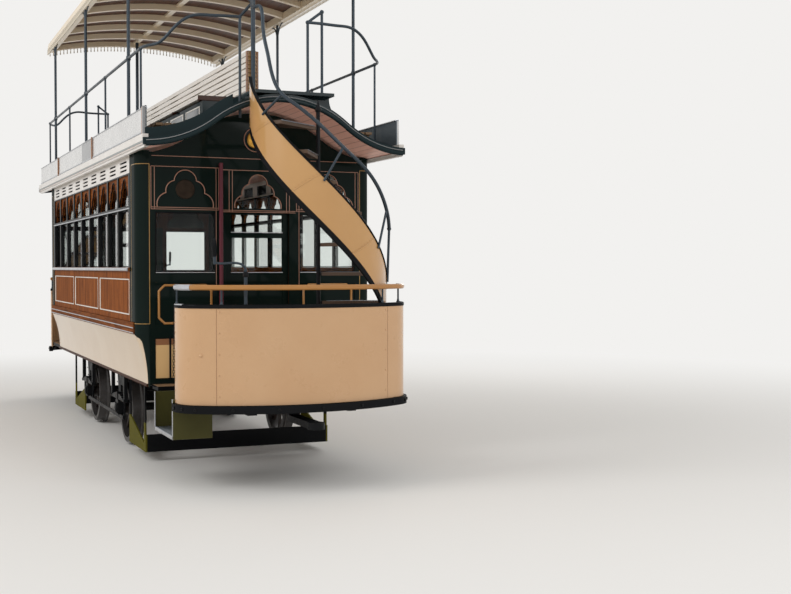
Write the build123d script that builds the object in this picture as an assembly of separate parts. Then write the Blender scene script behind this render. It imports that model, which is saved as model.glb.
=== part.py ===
from build123d import *
import math
import os

# A double-deck tram car drawn by horses, in millimetres, without its team.
# X runs along the track, the end with the near stair is at +X, and Z is up.
# Z = 0 is the tip of the wheel flanges, which hang RAIL below the rail head.

# Driving dimensions
RAIL = 22.0
GAUGE = 1435.0
WHEELBASE = 1800.0
WHEEL_R = 330.0
BAYS = 9
BAY = 511.0
BODY_HALF = 1021.0
BODY_END = 2620.0
CORNER_R = 105.0
TUMBLEHOME = 91.0
ROCKER_Z = RAIL + 681.0
RAIL_MOULD_Z = RAIL + 1110.0
WAIST_Z = RAIL + 1208.0
SILL_Z = RAIL + 1624.0
TRANSOM_Z = RAIL + 2140.0
LETTER_Z = RAIL + 2441.0
EAVE_Z = RAIL + 2577.0
EAVE_OUT = 64.0
EAVE_DEEP = 100.0
CROWN_RISE = 373.0
HOOD_LONG = 605.0
HOOD_BOW = 90.0
PLATFORM_Z = RAIL + 705.0
PLATFORM_IN = 111.0
PLATFORM_LONG = 1360.0
PLATFORM_BOW_R = 1500.0
PLATFORM_CORNER_R = 260.0
FLOOR_Z = RAIL + 780.0
DASH_LONG = 490.0
DASH_TOP_Z = RAIL + 1357.0
DASH_RAIL_Z = RAIL + 1510.0
STEP_LONG = 660.0
STEP_DEEP = 300.0
STEP_Z = RAIL + 370.0
DOOR_WIDE = 640.0
DOOR_SLIDE = 540.0
STAIR_OUT = 780.0
STAIR_Y = 259.0
STAIR_R = 526.0
STAIR_START = 134.0
STAIR_STOP = -101.0
STAIR_STEPS = 10
PANEL_TALL = 400.0
LANDING_Z = RAIL + 3045.0
SEAT_Z = RAIL + 3095.0
SEAT_HALF = 470.0
SEAT_IN = 170.0
BACK_TOP_Z = RAIL + 3500.0
DECK_RAIL_Z = RAIL + 3402.0
DECK_RAIL_IN = 80.0
DECK_RAIL_LONG = 2750.0
DECK_RISE = 208.0
CANOPY_OUT = 9.0
CANOPY_EDGE_Z = RAIL + 4300.0
CANOPY_RISE = 125.0
CANOPY_LONG = 40.0
CANOPY_POST_X = 2240.0

# Places worked out from them
ROCKER_HALF = BODY_HALF - TUMBLEHOME
EAVE_HALF = BODY_HALF + EAVE_OUT
HOOD_END = BODY_END + HOOD_LONG
PLATFORM_HALF = BODY_HALF - PLATFORM_IN
PLATFORM_END = BODY_END + PLATFORM_LONG
STAIR_X = BODY_END + STAIR_OUT
DASH_SIDE_X = PLATFORM_END - DASH_LONG
STEP_END = DASH_SIDE_X
SEAT_END = BODY_END - SEAT_IN
CANOPY_HALF = BODY_HALF + CANOPY_OUT
CANOPY_END = BODY_END + CANOPY_LONG
DECK_RAIL_HALF = EAVE_HALF - DECK_RAIL_IN
WINDOW_END = BAYS * BAY / 2
FRAME_END = WINDOW_END + 34
FLANGE_R = WHEEL_R + RAIL
AXLE_Z = RAIL + WHEEL_R
AXLE_X = WHEELBASE / 2
OGEE_R = ((EAVE_HALF / 2) ** 2 + (CROWN_RISE / 2) ** 2) / CROWN_RISE
STAIR_RISE = (LANDING_Z - 50 - PLATFORM_Z) / STAIR_STEPS
HOOD_BOW_R = (EAVE_HALF ** 2 + HOOD_BOW ** 2) / (2 * HOOD_BOW)
NODES = {}


def block(x0, x1, y0, y1, z0, z1):
    """A box between two corners."""
    return Pos((x0 + x1) / 2, (y0 + y1) / 2, (z0 + z1) / 2) * Box(
        abs(x1 - x0), abs(y1 - y0), abs(z1 - z0)
    )


def join(shapes):
    """Fuses a list of solids into one shape."""
    shapes = list(shapes)
    if len(shapes) == 1:
        return shapes[0]
    return shapes[0].fuse(*shapes[1:])


def cut(shape, tools):
    """Takes a list of solids out of a shape."""
    return shape.cut(*tools)


def gather(shapes):
    """Several separate solids kept as one sub-part."""
    solids = []
    for shape in shapes:
        solids.extend(shape.solids())
    return Compound(children=solids)


def turned(shape):
    """The same shape at the car's other end, turned half round."""
    return Rot(0, 0, 180) * shape


def mirrored(shape):
    """The same shape on the car's other side."""
    return mirror(shape, about=Plane.XZ)


def both_ends(shape):
    """A shape and its twin at the other end."""
    return gather([shape, turned(shape)])


def extrude_x(face_yz, x0, x1):
    """Carries a face drawn as (y, z) from x0 to x1."""
    return extrude(Plane(origin=(x0, 0, 0), x_dir=(0, 1, 0), z_dir=(1, 0, 0)) * face_yz, x1 - x0)


def extrude_y(face_xz, y0, y1):
    """Carries a face drawn as (x, z) from y0 to y1."""
    plane = Plane(origin=(0, y1, 0), x_dir=(1, 0, 0), z_dir=(0, -1, 0))
    return extrude(plane * face_xz, y1 - y0)


def extrude_z(face_xy, z0, z1):
    """Carries a face drawn as (x, y) from z0 to z1."""
    return extrude(Pos(0, 0, z0) * face_xy, z1 - z0)


def polygon(points):
    """A face from its corner points."""
    return make_face(Polyline(*points, close=True))


def rod(start, stop, radius):
    """A round bar between two points."""
    line = Line(start, stop)
    return sweep(Plane(origin=line @ 0, z_dir=line % 0) * Circle(radius), path=line)


def pipe(path, radius):
    """A round bar along a path."""
    return sweep(
        Plane(origin=path @ 0, z_dir=path % 0) * Circle(radius),
        path=path,
        transition=Transition.ROUND,
    )


def add(name, shape):
    """Keeps a sub-part under its name."""
    NODES[name] = shape


def ogee_half(lift):
    """The roof's curve from eave to crown on the +Y side, as two tangent arcs."""
    edge = (EAVE_HALF, EAVE_Z + lift)
    middle = (EAVE_HALF / 2, EAVE_Z + CROWN_RISE / 2 + lift)
    crown = (0, EAVE_Z + CROWN_RISE + lift)
    half_turn = math.asin(EAVE_HALF / 2 / OGEE_R) / 2
    low = (
        EAVE_HALF - OGEE_R * math.sin(half_turn),
        EAVE_Z + lift + OGEE_R * (1 - math.cos(half_turn)),
    )
    high = (
        OGEE_R * math.sin(half_turn),
        EAVE_Z + CROWN_RISE + lift - OGEE_R * (1 - math.cos(half_turn)),
    )
    return edge, low, middle, high, crown


def ogee_band(lift_low, lift_high):
    """The face between two copies of the roof's curve, drawn as (y, z)."""
    e0, l0, m0, h0, c0 = ogee_half(lift_low)
    e1, l1, m1, h1, c1 = ogee_half(lift_high)
    edges = [
        ThreePointArc(e0, l0, m0),
        ThreePointArc(m0, h0, c0),
        Line(c0, c1),
        ThreePointArc(c1, h1, m1),
        ThreePointArc(m1, l1, e1),
        Line(e1, e0),
    ]
    half = make_face(Wire(edges))
    return half + mirror(half, about=Plane.YZ)


def hood_front(y):
    """How far along X the bowed front of a hood stands at a distance from the middle."""
    return HOOD_END + HOOD_BOW - HOOD_BOW_R + math.sqrt(HOOD_BOW_R ** 2 - y ** 2)


def hood_cut(setback, low, high):
    """Everything beyond the bowed front of a hood at +X, less a setback, as a tool."""
    disc = Pos(HOOD_END - setback + HOOD_BOW - HOOD_BOW_R, 0) * Circle(HOOD_BOW_R)
    corner = Pos(HOOD_END - setback - 600, 0)
    sheet = corner * Rectangle(3000, 2 * EAVE_HALF + 200, align=(Align.MIN, Align.CENTER))
    return extrude_z(sheet - disc, low, high)


def platform_face(inset):
    """The platform's plan from the bulkhead to its bowed front."""
    radius = PLATFORM_BOW_R - inset
    half = PLATFORM_HALF - inset
    disc = Pos(PLATFORM_END - PLATFORM_BOW_R, 0) * Circle(radius)
    strip = Pos(BODY_END, 0) * Rectangle(2000, 2 * half, align=(Align.MIN, Align.CENTER))
    face = (disc & strip).face()
    corners = face.vertices().filter_by(lambda v: v.X > BODY_END + 100)
    return fillet(corners, PLATFORM_CORNER_R - inset)


def build_wheels():
    """Two wheelsets: a bored spoked wheel at each end of a through axle."""
    inner = GAUGE / 2 - 38
    tread = GAUGE / 2 - 6
    outer = GAUGE / 2 + 70
    rim = polygon(
        [
            (inner, WHEEL_R - 45),
            (inner, FLANGE_R - 4),
            (inner + 10, FLANGE_R),
            (inner + 20, FLANGE_R - 2),
            (tread, WHEEL_R + 2),
            (outer, WHEEL_R - 3),
            (outer, WHEEL_R - 45),
        ]
    )
    hub = polygon([(inner - 12, 38), (inner - 12, 78), (outer - 20, 72), (outer + 12, 58), (outer + 12, 38)])
    to_world = Plane(origin=(0, 0, 0), x_dir=(0, 1, 0), z_dir=(1, 0, 0))
    rim = revolve(to_world * rim, Axis.Y)
    hub = revolve(to_world * hub, Axis.Y)
    middle = (inner + outer) / 2
    spokes = []
    for number in range(8):
        spoke = Pos(0, middle, (60 + WHEEL_R - 35) / 2) * Box(44, 26, WHEEL_R - 95)
        spokes.append(Rot(0, 45 * number, 0) * spoke)
    wheel = join([rim, hub] + spokes)
    pair = gather([wheel, mirrored(wheel)])
    axle = Rot(90, 0, 0) * Cylinder(37.95, 2 * (GAUGE / 2 + 82))
    journals = Rot(90, 0, 0) * Cylinder(28, 2 * (GAUGE / 2 + 152))
    axle = axle + journals
    for name, x in (("front", AXLE_X), ("rear", -AXLE_X)):
        add("wheels_" + name, Pos(x, 0, AXLE_Z) * pair)
        add("axle_" + name, Pos(x, 0, AXLE_Z) * axle)


def build_running_gear():
    """Axle guards with their tie bars, axle boxes, leaf springs and wheel guards."""
    plate_y = GAUGE / 2 + 98
    guards = []
    boxes = []
    springs = []
    for x in (AXLE_X, -AXLE_X):
        guard = polygon(
            [
                (x - 230, ROCKER_Z + 8),
                (x - 95, AXLE_Z - 108),
                (x + 95, AXLE_Z - 108),
                (x + 230, ROCKER_Z + 8),
            ]
        )
        guard = extrude_y(guard, plate_y, plate_y + 14)
        gap = block(x - 62, x + 62, plate_y - 5, plate_y + 20, AXLE_Z - 75, AXLE_Z + 210)
        guard = guard - gap
        guards.append(guard)
        casting = block(x - 61, x + 61, plate_y - 10, plate_y + 62, AXLE_Z - 62, AXLE_Z + 78)
        casting = fillet(casting.edges().filter_by(Axis.Y), 18)
        bore = Pos(x, plate_y, AXLE_Z) * Rot(90, 0, 0) * Cylinder(28.5, 300)
        cover = Pos(x, plate_y + 68, AXLE_Z) * Rot(90, 0, 0) * Cylinder(44, 12)
        boxes.append((casting - bore) + cover)
        for leaf in range(4):
            half = 330 - 62 * leaf
            low = AXLE_Z + 84 + 13 * leaf
            springs.append(block(x - half, x + half, plate_y + 18, plate_y + 58, low, low + 13))
        springs.append(block(x - 32, x + 32, plate_y + 14, plate_y + 62, AXLE_Z + 78, AXLE_Z + 150))
        for side in (-1, 1):
            hx = x + side * 315
            springs.append(block(hx - 16, hx + 16, plate_y + 22, plate_y + 54, AXLE_Z + 90, ROCKER_Z + 8))
    tie = block(-AXLE_X - 95, AXLE_X + 95, plate_y + 14, plate_y + 26, AXLE_Z - 104, AXLE_Z - 68)
    guards.append(tie)
    for name, shapes in (("axle_guards", guards), ("axle_boxes", boxes), ("springs", springs)):
        one = join(shapes) if name != "axle_boxes" else gather(shapes)
        add(name, gather([one, mirrored(one)]))


def build_wheel_guards():
    """Sloped guard plates ahead of the outer wheels, with a board across the track."""
    back = AXLE_X + WHEEL_R + 60
    front = back + 720
    y = ROCKER_HALF - 110
    plate = polygon(
        [
            (back, RAIL + 60),
            (back, RAIL + 300),
            (back + 70, RAIL + 300),
            (front, RAIL + 110),
            (front, RAIL + 60),
        ]
    )
    plate = extrude_y(plate, y, y + 14)
    hangers = [
        block(back, back + 50, y, y + 14, RAIL + 290, ROCKER_Z + 8),
        block(front - 60, front - 10, y, y + 14, RAIL + 90, ROCKER_Z + 8),
    ]
    side = join([plate] + hangers)
    board = block(front - 16, front + 10, -y - 14, y + 14, RAIL + 60, RAIL + 210)
    add("wheel_guards", both_ends(join([side, mirrored(side), board])))


def build_underframe():
    """Solebars, cross members and the platform bearers under the floor."""
    bars = []
    top = FLOOR_Z - 35
    reach = PLATFORM_END - 200
    for side in (-1, 1):
        bars.append(block(-BODY_END, BODY_END, side * (ROCKER_HALF - 115), side * (ROCKER_HALF - 30), ROCKER_Z + 8, top))
        bars.append(block(-reach, reach, side * 360, side * 430, PLATFORM_Z - 150, PLATFORM_Z - 35))
    half = ROCKER_HALF - 30
    for part in (-1, -0.59, -0.157, 0.157, 0.59, 1):
        x = part * (BODY_END - 75)
        bars.append(block(x - 35, x + 35, -half, half, ROCKER_Z + 8, top))
    add("underframe", join(bars))


def build_floor():
    """The saloon floor and the two platform floors, with the step wells left open."""
    half = ROCKER_HALF + 16
    saloon = block(-BODY_END + 35, BODY_END - 35, -half, half, FLOOR_Z - 35, FLOOR_Z)
    runner = block(BODY_END - 56, BODY_END - 48, -DOOR_WIDE / 2, DOOR_WIDE / 2 + DOOR_SLIDE, FLOOR_Z, FLOOR_Z + 7.5)
    add("saloon_floor", saloon + runner + turned(runner))
    deck = extrude_z(platform_face(14), PLATFORM_Z - 35, PLATFORM_Z)
    inner = PLATFORM_HALF + 15 - STEP_DEEP
    well = block(STEP_END - STEP_LONG, STEP_END, -PLATFORM_HALF - 50, -inner - 5, PLATFORM_Z - 60, PLATFORM_Z + 10)
    add("platforms", both_ends(deck - well))


def rocker_face(out, thick):
    """The section of the tumblehome panel, drawn as (y, z) on the +Y side."""
    low = (ROCKER_HALF + out, ROCKER_Z)
    bend = (ROCKER_HALF + TUMBLEHOME / 4 + out, (ROCKER_Z + RAIL_MOULD_Z) / 2)
    high = (BODY_HALF + out, RAIL_MOULD_Z)
    inner = [(p[0] - thick, p[1]) for p in (low, bend, high)]
    edges = [
        ThreePointArc(low, bend, high),
        Line(high, inner[2]),
        ThreePointArc(inner[2], inner[1], inner[0]),
        Line(inner[0], low),
    ]
    return make_face(Wire(edges))


def cloud(width, low, high):
    """A stepped arch of five lobes drawn as (across, z), centred on 0."""
    half = width / 2
    tall = high - low
    steps = [(half, low), (0.69 * half, low + 0.38 * tall), (0.40 * half, low + 0.71 * tall)]
    edges = []
    right = []
    for (x0, z0), (x1, z1) in zip(steps, steps[1:]):
        middle = (x1 + 0.72 * (x0 - x1), z0 + 0.72 * (z1 - z0))
        right.append(((x0, z0), middle, (x1, z1)))
    for start, middle, stop in right:
        edges.append(ThreePointArc(start, middle, stop))
    x, z = steps[-1]
    edges.append(ThreePointArc((x, z), (0, high), (-x, z)))
    for start, middle, stop in reversed(right):
        edges.append(ThreePointArc((-stop[0], stop[1]), (-middle[0], middle[1]), (-start[0], start[1])))
    edges.append(Line((-half, low), (half, low)))
    return make_face(Wire(edges))


def build_sides():
    """The long sides of the saloon: rocker, waist, mouldings, windows and vents."""
    end = BODY_END - CORNER_R
    post = 52.0
    rocker = extrude_x(rocker_face(0, 20), -end, end)
    panels = []
    third = 2 * FRAME_END / 3
    for number in range(3):
        x0 = -FRAME_END + third * number + 6
        x1 = x0 + third - 12
        panel = block(x0, x1, BODY_HALF - 26, BODY_HALF - 4, WAIST_Z, SILL_Z)
        panels.append(panel - block(x0 + 45, x1 - 45, BODY_HALF - 10, BODY_HALF, WAIST_Z + 50, SILL_Z - 62))
    trims = [
        block(-end, end, BODY_HALF - 40, BODY_HALF + 10, RAIL_MOULD_Z, WAIST_Z),
        block(-FRAME_END, FRAME_END, BODY_HALF - 46, BODY_HALF + 16, SILL_Z, SILL_Z + 34),
    ]
    frame = block(-FRAME_END, FRAME_END, BODY_HALF - 46, BODY_HALF, SILL_Z + 34, LETTER_Z)
    lights = []
    arches = []
    slots = []
    for bay in range(BAYS):
        x = (bay - (BAYS - 1) / 2) * BAY
        half = (BAY - post) / 2
        lights.append(block(x - half, x + half, BODY_HALF - 60, BODY_HALF + 20, SILL_Z + 34, TRANSOM_Z))
        lights.append(block(x - half, x + half, BODY_HALF - 60, BODY_HALF + 20, TRANSOM_Z + 30, LETTER_Z - 12))
        board = Pos(x, (TRANSOM_Z + 30 + LETTER_Z - 12) / 2) * Rectangle(2 * half, LETTER_Z - 42 - TRANSOM_Z)
        hole = Pos(x, 0) * cloud(2 * half - 50, TRANSOM_Z + 30, LETTER_Z - 36)
        arches.append(extrude_y(board - hole, BODY_HALF - 30, BODY_HALF - 12))
        for row in range(3):
            z = LETTER_Z + 34 + 34 * row
            slots.append(block(x - 150, x + 150, BODY_HALF - 60, BODY_HALF + 20, z - 8, z + 8))
    frame = cut(frame, lights)
    letter = block(-FRAME_END, FRAME_END, BODY_HALF - 40, BODY_HALF - 4, LETTER_Z, EAVE_Z + 30)
    letter = cut(letter, slots)
    glass = block(-FRAME_END + 30, FRAME_END - 30, BODY_HALF - 40, BODY_HALF - 34, SILL_Z + 20, LETTER_Z - 4)
    pieces = {
        "rocker": rocker,
        "waist_panels": gather(panels),
        "waist_rails": join(trims),
        "window_frame": frame,
        "arch_boards": gather(arches),
        "vent_board": letter,
    }
    for name, shape in pieces.items():
        add(name + "_left", shape)
        add(name + "_right", mirrored(shape))
    return [glass, mirrored(glass)]


def build_corners():
    """The four rounded corner pillars, which run out under the waist as the sides curve in."""
    ring = Circle(CORNER_R) - Circle(CORNER_R - 25)
    quarter = ring & (Pos(CORNER_R / 2, CORNER_R / 2) * Rectangle(CORNER_R, CORNER_R))
    middle = BODY_END - CORNER_R
    upper = extrude_z(Pos(middle, BODY_HALF - CORNER_R) * quarter, RAIL_MOULD_Z, EAVE_Z + 30)
    upper = upper + block(FRAME_END, middle + 1, BODY_HALF - 25, BODY_HALF, WAIST_Z, EAVE_Z + 30)
    sections = []
    levels = [
        (ROCKER_HALF, ROCKER_Z),
        (ROCKER_HALF + TUMBLEHOME / 4, (ROCKER_Z + RAIL_MOULD_Z) / 2),
        (BODY_HALF, RAIL_MOULD_Z),
    ]
    inner = BODY_HALF - CORNER_R
    for half, z in levels:
        edge = EllipticalCenterArc((middle, inner), CORNER_R, half - inner, start_angle=0, arc_size=90)
        sides = [Line((middle, half), (middle, inner)), Line((middle, inner), (BODY_END, inner))]
        sections.append((Pos(0, 0, z) * make_face(Wire([edge] + sides))).face())
    lower = loft(sections)
    corners = []
    for shape in (upper, lower):
        for one in (shape, mirrored(shape)):
            corners.append(one)
            corners.append(turned(one))
    add("corner_pillars", gather(corners))


def build_ends():
    """Bulkheads with their windows and arches, and the sliding doors behind them."""
    half = BODY_HALF - CORNER_R
    low = PLATFORM_Z
    wall = block(BODY_END - 30, BODY_END, -half, half, PLATFORM_Z, EAVE_Z + 20)
    gable = extrude_x(ogee_band(-400, -2), BODY_END - 30, BODY_END)
    gable = gable & block(BODY_END - 40, BODY_END + 10, -half, half, EAVE_Z, EAVE_Z + 500)
    wall = wall + gable
    centre = 0.606 * BODY_HALF
    wide = 505.0
    holes = []
    for y in (-centre, centre):
        holes.append(block(BODY_END - 60, BODY_END + 30, y - wide / 2, y + wide / 2, SILL_Z - 13, TRANSOM_Z - 28))
        for z0, z1 in ((PLATFORM_Z + 45, RAIL_MOULD_Z - 29), (WAIST_Z - 21, SILL_Z - 102)):
            holes.append(block(BODY_END - 7, BODY_END + 1, y - wide / 2, y + wide / 2, z0, z1))
    door_half = DOOR_WIDE / 2 - 45
    holes.append(block(BODY_END - 60, BODY_END + 30, -door_half, door_half, low + 40, TRANSOM_Z - 20))
    arches = []
    for y in (-centre, centre):
        arches.append(Pos(y, 0) * cloud(465, TRANSOM_Z + 12, TRANSOM_Z + 316))
    arches.append(cloud(402, TRANSOM_Z + 12, TRANSOM_Z + 294))
    for arch in arches:
        holes.append(extrude_x(arch, BODY_END - 60, BODY_END + 30))
    wall = cut(wall, holes)
    add("bulkheads", both_ends(wall))
    x1 = BODY_END - 30 - 6
    x0 = x1 - 32
    door = block(x0, x1, -DOOR_WIDE / 2, DOOR_WIDE / 2, FLOOR_Z + 8, TRANSOM_Z + 2)
    pane = block(x0 - 5, x1 + 5, -226, 226, SILL_Z - 14, TRANSOM_Z - 235)
    light = block(x0 - 5, x1 + 5, -226, 226, TRANSOM_Z - 193, TRANSOM_Z - 42)
    field = block(x1 - 7, x1 + 1, -226, 226, FLOOR_Z + 120, SILL_Z - 90)
    door = door - pane - light - field
    add("door_front", door)
    add("door_rear", turned(door))
    door_glass = block((x0 + x1) / 2 - 3, (x0 + x1) / 2 + 3, -226, 226, SILL_Z - 14, TRANSOM_Z - 42)
    door_glass = door_glass - block(x0, x1, -227, 227, TRANSOM_Z - 235, TRANSOM_Z - 193)
    add("door_glass_front", door_glass)
    add("door_glass_rear", turned(door_glass))
    panes = []
    for y in (-centre, centre):
        panes.append(block(BODY_END - 18, BODY_END - 12, y - wide / 2, y + wide / 2, SILL_Z - 13, TRANSOM_Z - 28))
    for arch in arches:
        panes.append(extrude_x(arch, BODY_END - 18, BODY_END - 12))
    return panes + [turned(pane) for pane in panes]


def build_roof():
    """The ogee roof with its hoods, rolled end edges, end coamings and side cornices."""
    shell = extrude_x(ogee_band(30, 65), -HOOD_END - HOOD_BOW, HOOD_END + HOOD_BOW)
    tool = hood_cut(20, EAVE_Z - 50, EAVE_Z + 800)
    shell = shell - tool - turned(tool)
    add("roof", shell)
    low, high = EAVE_Z - 50, EAVE_Z + 800
    fascia = extrude_x(ogee_band(16, 70), HOOD_END - 60, HOOD_END + HOOD_BOW)
    fascia = (fascia & hood_cut(20, low, high)) - hood_cut(0, low, high)
    coaming = extrude_x(ogee_band(65, 150), HOOD_END - 120, HOOD_END + HOOD_BOW)
    coaming = (coaming & hood_cut(75, low, high)) - hood_cut(50, low, high)
    coaming = coaming & block(HOOD_END - 200, HOOD_END + 200, 24 - EAVE_HALF, -0.36 * EAVE_HALF, low, high)
    add("hood_fascias", both_ends(gather([fascia, coaming])))
    cornice = polygon(
        [
            (BODY_HALF - 3, EAVE_Z + 28),
            (BODY_HALF + 22, EAVE_Z),
            (EAVE_HALF - 14, EAVE_Z),
            (EAVE_HALF - 14, EAVE_Z + 34),
            (EAVE_HALF, EAVE_Z + 48),
            (EAVE_HALF, EAVE_Z + EAVE_DEEP),
            (EAVE_HALF - 45, EAVE_Z + EAVE_DEEP),
            (EAVE_HALF - 45, EAVE_Z + 28),
        ]
    )
    cornice = extrude_x(cornice, -HOOD_END + 25, HOOD_END - 25)
    add("eave_cornices", gather([cornice, mirrored(cornice)]))


def build_upper_deck():
    """Clerestory, knifeboard seat, slatted gangways and decency boards."""
    low = EAVE_Z + 300
    half = SEAT_HALF - 40
    box = block(-SEAT_END, SEAT_END, -half, half, low, SEAT_Z - 40)
    inside = block(-SEAT_END + 25, SEAT_END - 25, -half + 25, half - 25, low - 10, SEAT_Z - 60)
    box = box - inside
    lights = []
    pitch = 2 * (SEAT_END - 40) / 8
    for number in range(8):
        x = (number - 3.5) * pitch
        lights.append(block(x - pitch / 2 + 70, x + pitch / 2 - 70, -half - 50, half + 50, SEAT_Z - 190, SEAT_Z - 90))
    box = cut(box, lights)
    box = box - extrude_x(ogee_band(-200, 65), -SEAT_END - 10, SEAT_END + 10)
    add("clerestory", box)
    seats = []
    backs = []
    wide = (SEAT_HALF - 62) / 6
    for number in range(6):
        y = 62 + wide * number
        seats.append(block(-SEAT_END, SEAT_END, y, y + wide - 12, SEAT_Z - 25, SEAT_Z))
    for number in range(7):
        z = SEAT_Z + 60 + 50 * number
        backs.append(block(-SEAT_END, SEAT_END, 38, 54, z, z + 38))
    slats = seats + backs
    add("seat_slats", gather(slats + [mirrored(slat) for slat in slats]))
    frames = []
    for number in range(6):
        x = (number - 2.5) * (2 * SEAT_END - 40) / 5
        bearer = block(x - 20, x + 20, -SEAT_HALF + 6, SEAT_HALF - 6, SEAT_Z - 40, SEAT_Z - 25)
        frame = bearer + block(x - 20, x + 20, -38, 38, SEAT_Z - 40, BACK_TOP_Z)
        if abs(x) > SEAT_END - 30:
            edge = math.copysign(SEAT_END, x)
            out = math.copysign(SEAT_END + 14, x)
            frame = frame + block(edge, out, -SEAT_HALF, SEAT_HALF, SEAT_Z - 36, SEAT_Z + 2)
        frames.append(frame)
    add("seat_frames", gather(frames))
    walks = []
    walk_end = HOOD_END - 325
    inner = SEAT_HALF + 180
    pitch = (EAVE_HALF - 150 - inner) / 4
    for number in range(4):
        y = inner + pitch * number
        walks.append(block(-walk_end, walk_end, y, y + pitch - 16, EAVE_Z + 205, EAVE_Z + 225))
    for number in range(8):
        x = (number - 3.5) * (2 * walk_end - 200) / 7
        bearer = block(x - 20, x + 20, inner - 5, inner + 4 * pitch - 12, EAVE_Z + 60, EAVE_Z + 205)
        walks.append(bearer - extrude_x(ogee_band(-200, 65), x - 30, x + 30))
    walk = join(walks)
    add("deck_slats", gather([walk, mirrored(walk)]))
    board = block(-HOOD_END + 85, HOOD_END - 85, EAVE_HALF - 45, EAVE_HALF - 20, EAVE_Z + EAVE_DEEP, EAVE_Z + 308)
    add("decency_boards", gather([board, mirrored(board)]))


def deck_curve(last_y):
    """The rail that rises from a side rail round to an end post, at the +X end."""
    end_x = HOOD_END + 25
    points = []
    side = math.copysign(1, last_y)
    for turn in range(0, 91, 10):
        angle = math.radians(turn)
        part = min(max((turn - 26) / 34, 0), 1)
        points.append(
            (
                DECK_RAIL_LONG + (end_x - DECK_RAIL_LONG) * math.sin(angle),
                side * (DECK_RAIL_HALF - (DECK_RAIL_HALF - abs(last_y)) * (1 - math.cos(angle))),
                DECK_RAIL_Z + DECK_RISE * part * part * (3 - 2 * part),
            )
        )
    return Spline(*points)


def build_deck_rails():
    """Handrails round the upper deck, with their posts and rising ends."""
    y = DECK_RAIL_HALF
    top = DECK_RAIL_Z
    foot = EAVE_Z + 60
    bars = [rod((-DECK_RAIL_LONG, y, top), (DECK_RAIL_LONG, y, top), 12)]
    for x in (-DECK_RAIL_LONG, -CANOPY_POST_X / 2, CANOPY_POST_X / 2, DECK_RAIL_LONG):
        bars.append(rod((x, y, foot), (x, y, top), 9))
        bars.append(Pos(x, y, top) * Sphere(16))
    side = join(bars)
    add("deck_side_rails", gather([side, mirrored(side)]))
    end_x = HOOD_END + 25
    high = top + DECK_RISE
    left_y = -333.0
    right_y = 225.0
    ends = [
        pipe(deck_curve(left_y), 12),
        rod((end_x, left_y, EAVE_Z + 250), (end_x, left_y, high), 11),
        rod((end_x, left_y, high), (STAIR_X - 10, STAIR_Y - STAIR_R - 4, high + 90), 11),
        pipe(deck_curve(right_y), 12),
        rod((end_x, right_y, LANDING_Z), (end_x, right_y, high), 11),
        rod((end_x, right_y, high), (end_x, right_y + 120, high + 92), 11),
        rod((end_x, right_y + 120, LANDING_Z), (end_x, right_y + 120, high + 92), 11),
    ]
    for point in ((end_x, left_y, high), (end_x, right_y, high), (end_x, right_y + 120, high + 92)):
        ends.append(Pos(*point) * Sphere(17))
    add("deck_end_rails", both_ends(join(ends)))


def build_landings():
    """Slatted landings between each stair's head and the seat's end."""
    left = -250.0
    right = 420.0
    top = LANDING_Z - 25
    front = HOOD_END - 15
    slab = block(SEAT_END + 14, STAIR_X - 66, left, right, top, LANDING_Z)
    pieces = [slab]
    board = make_face(
        Wire(
            [
                Line((left, top), (right, top)),
                ThreePointArc((right, top), (right + 16, top - 80), (right + 70, top - 150)),
                Line((right + 70, top - 150), (right + 70, EAVE_Z)),
                Line((right + 70, EAVE_Z), (left - 205, EAVE_Z)),
                Line((left - 205, EAVE_Z), (left - 205, top - 180)),
                ThreePointArc((left - 205, top - 180), (left - 95, top - 80), (left, top)),
            ]
        )
    )
    pieces.append(extrude_x(board, front - 25, front))
    pieces.append(block(SEAT_END + 14, front - 10, left, left + 20, EAVE_Z, top + 5))
    pieces.append(block(SEAT_END + 14, front - 10, right - 20, right, EAVE_Z, top + 5))
    landing = join(pieces) - extrude_x(ogee_band(-600, 65), SEAT_END - 50, HOOD_END + 300)
    add("stair_landings", both_ends(landing))


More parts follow.
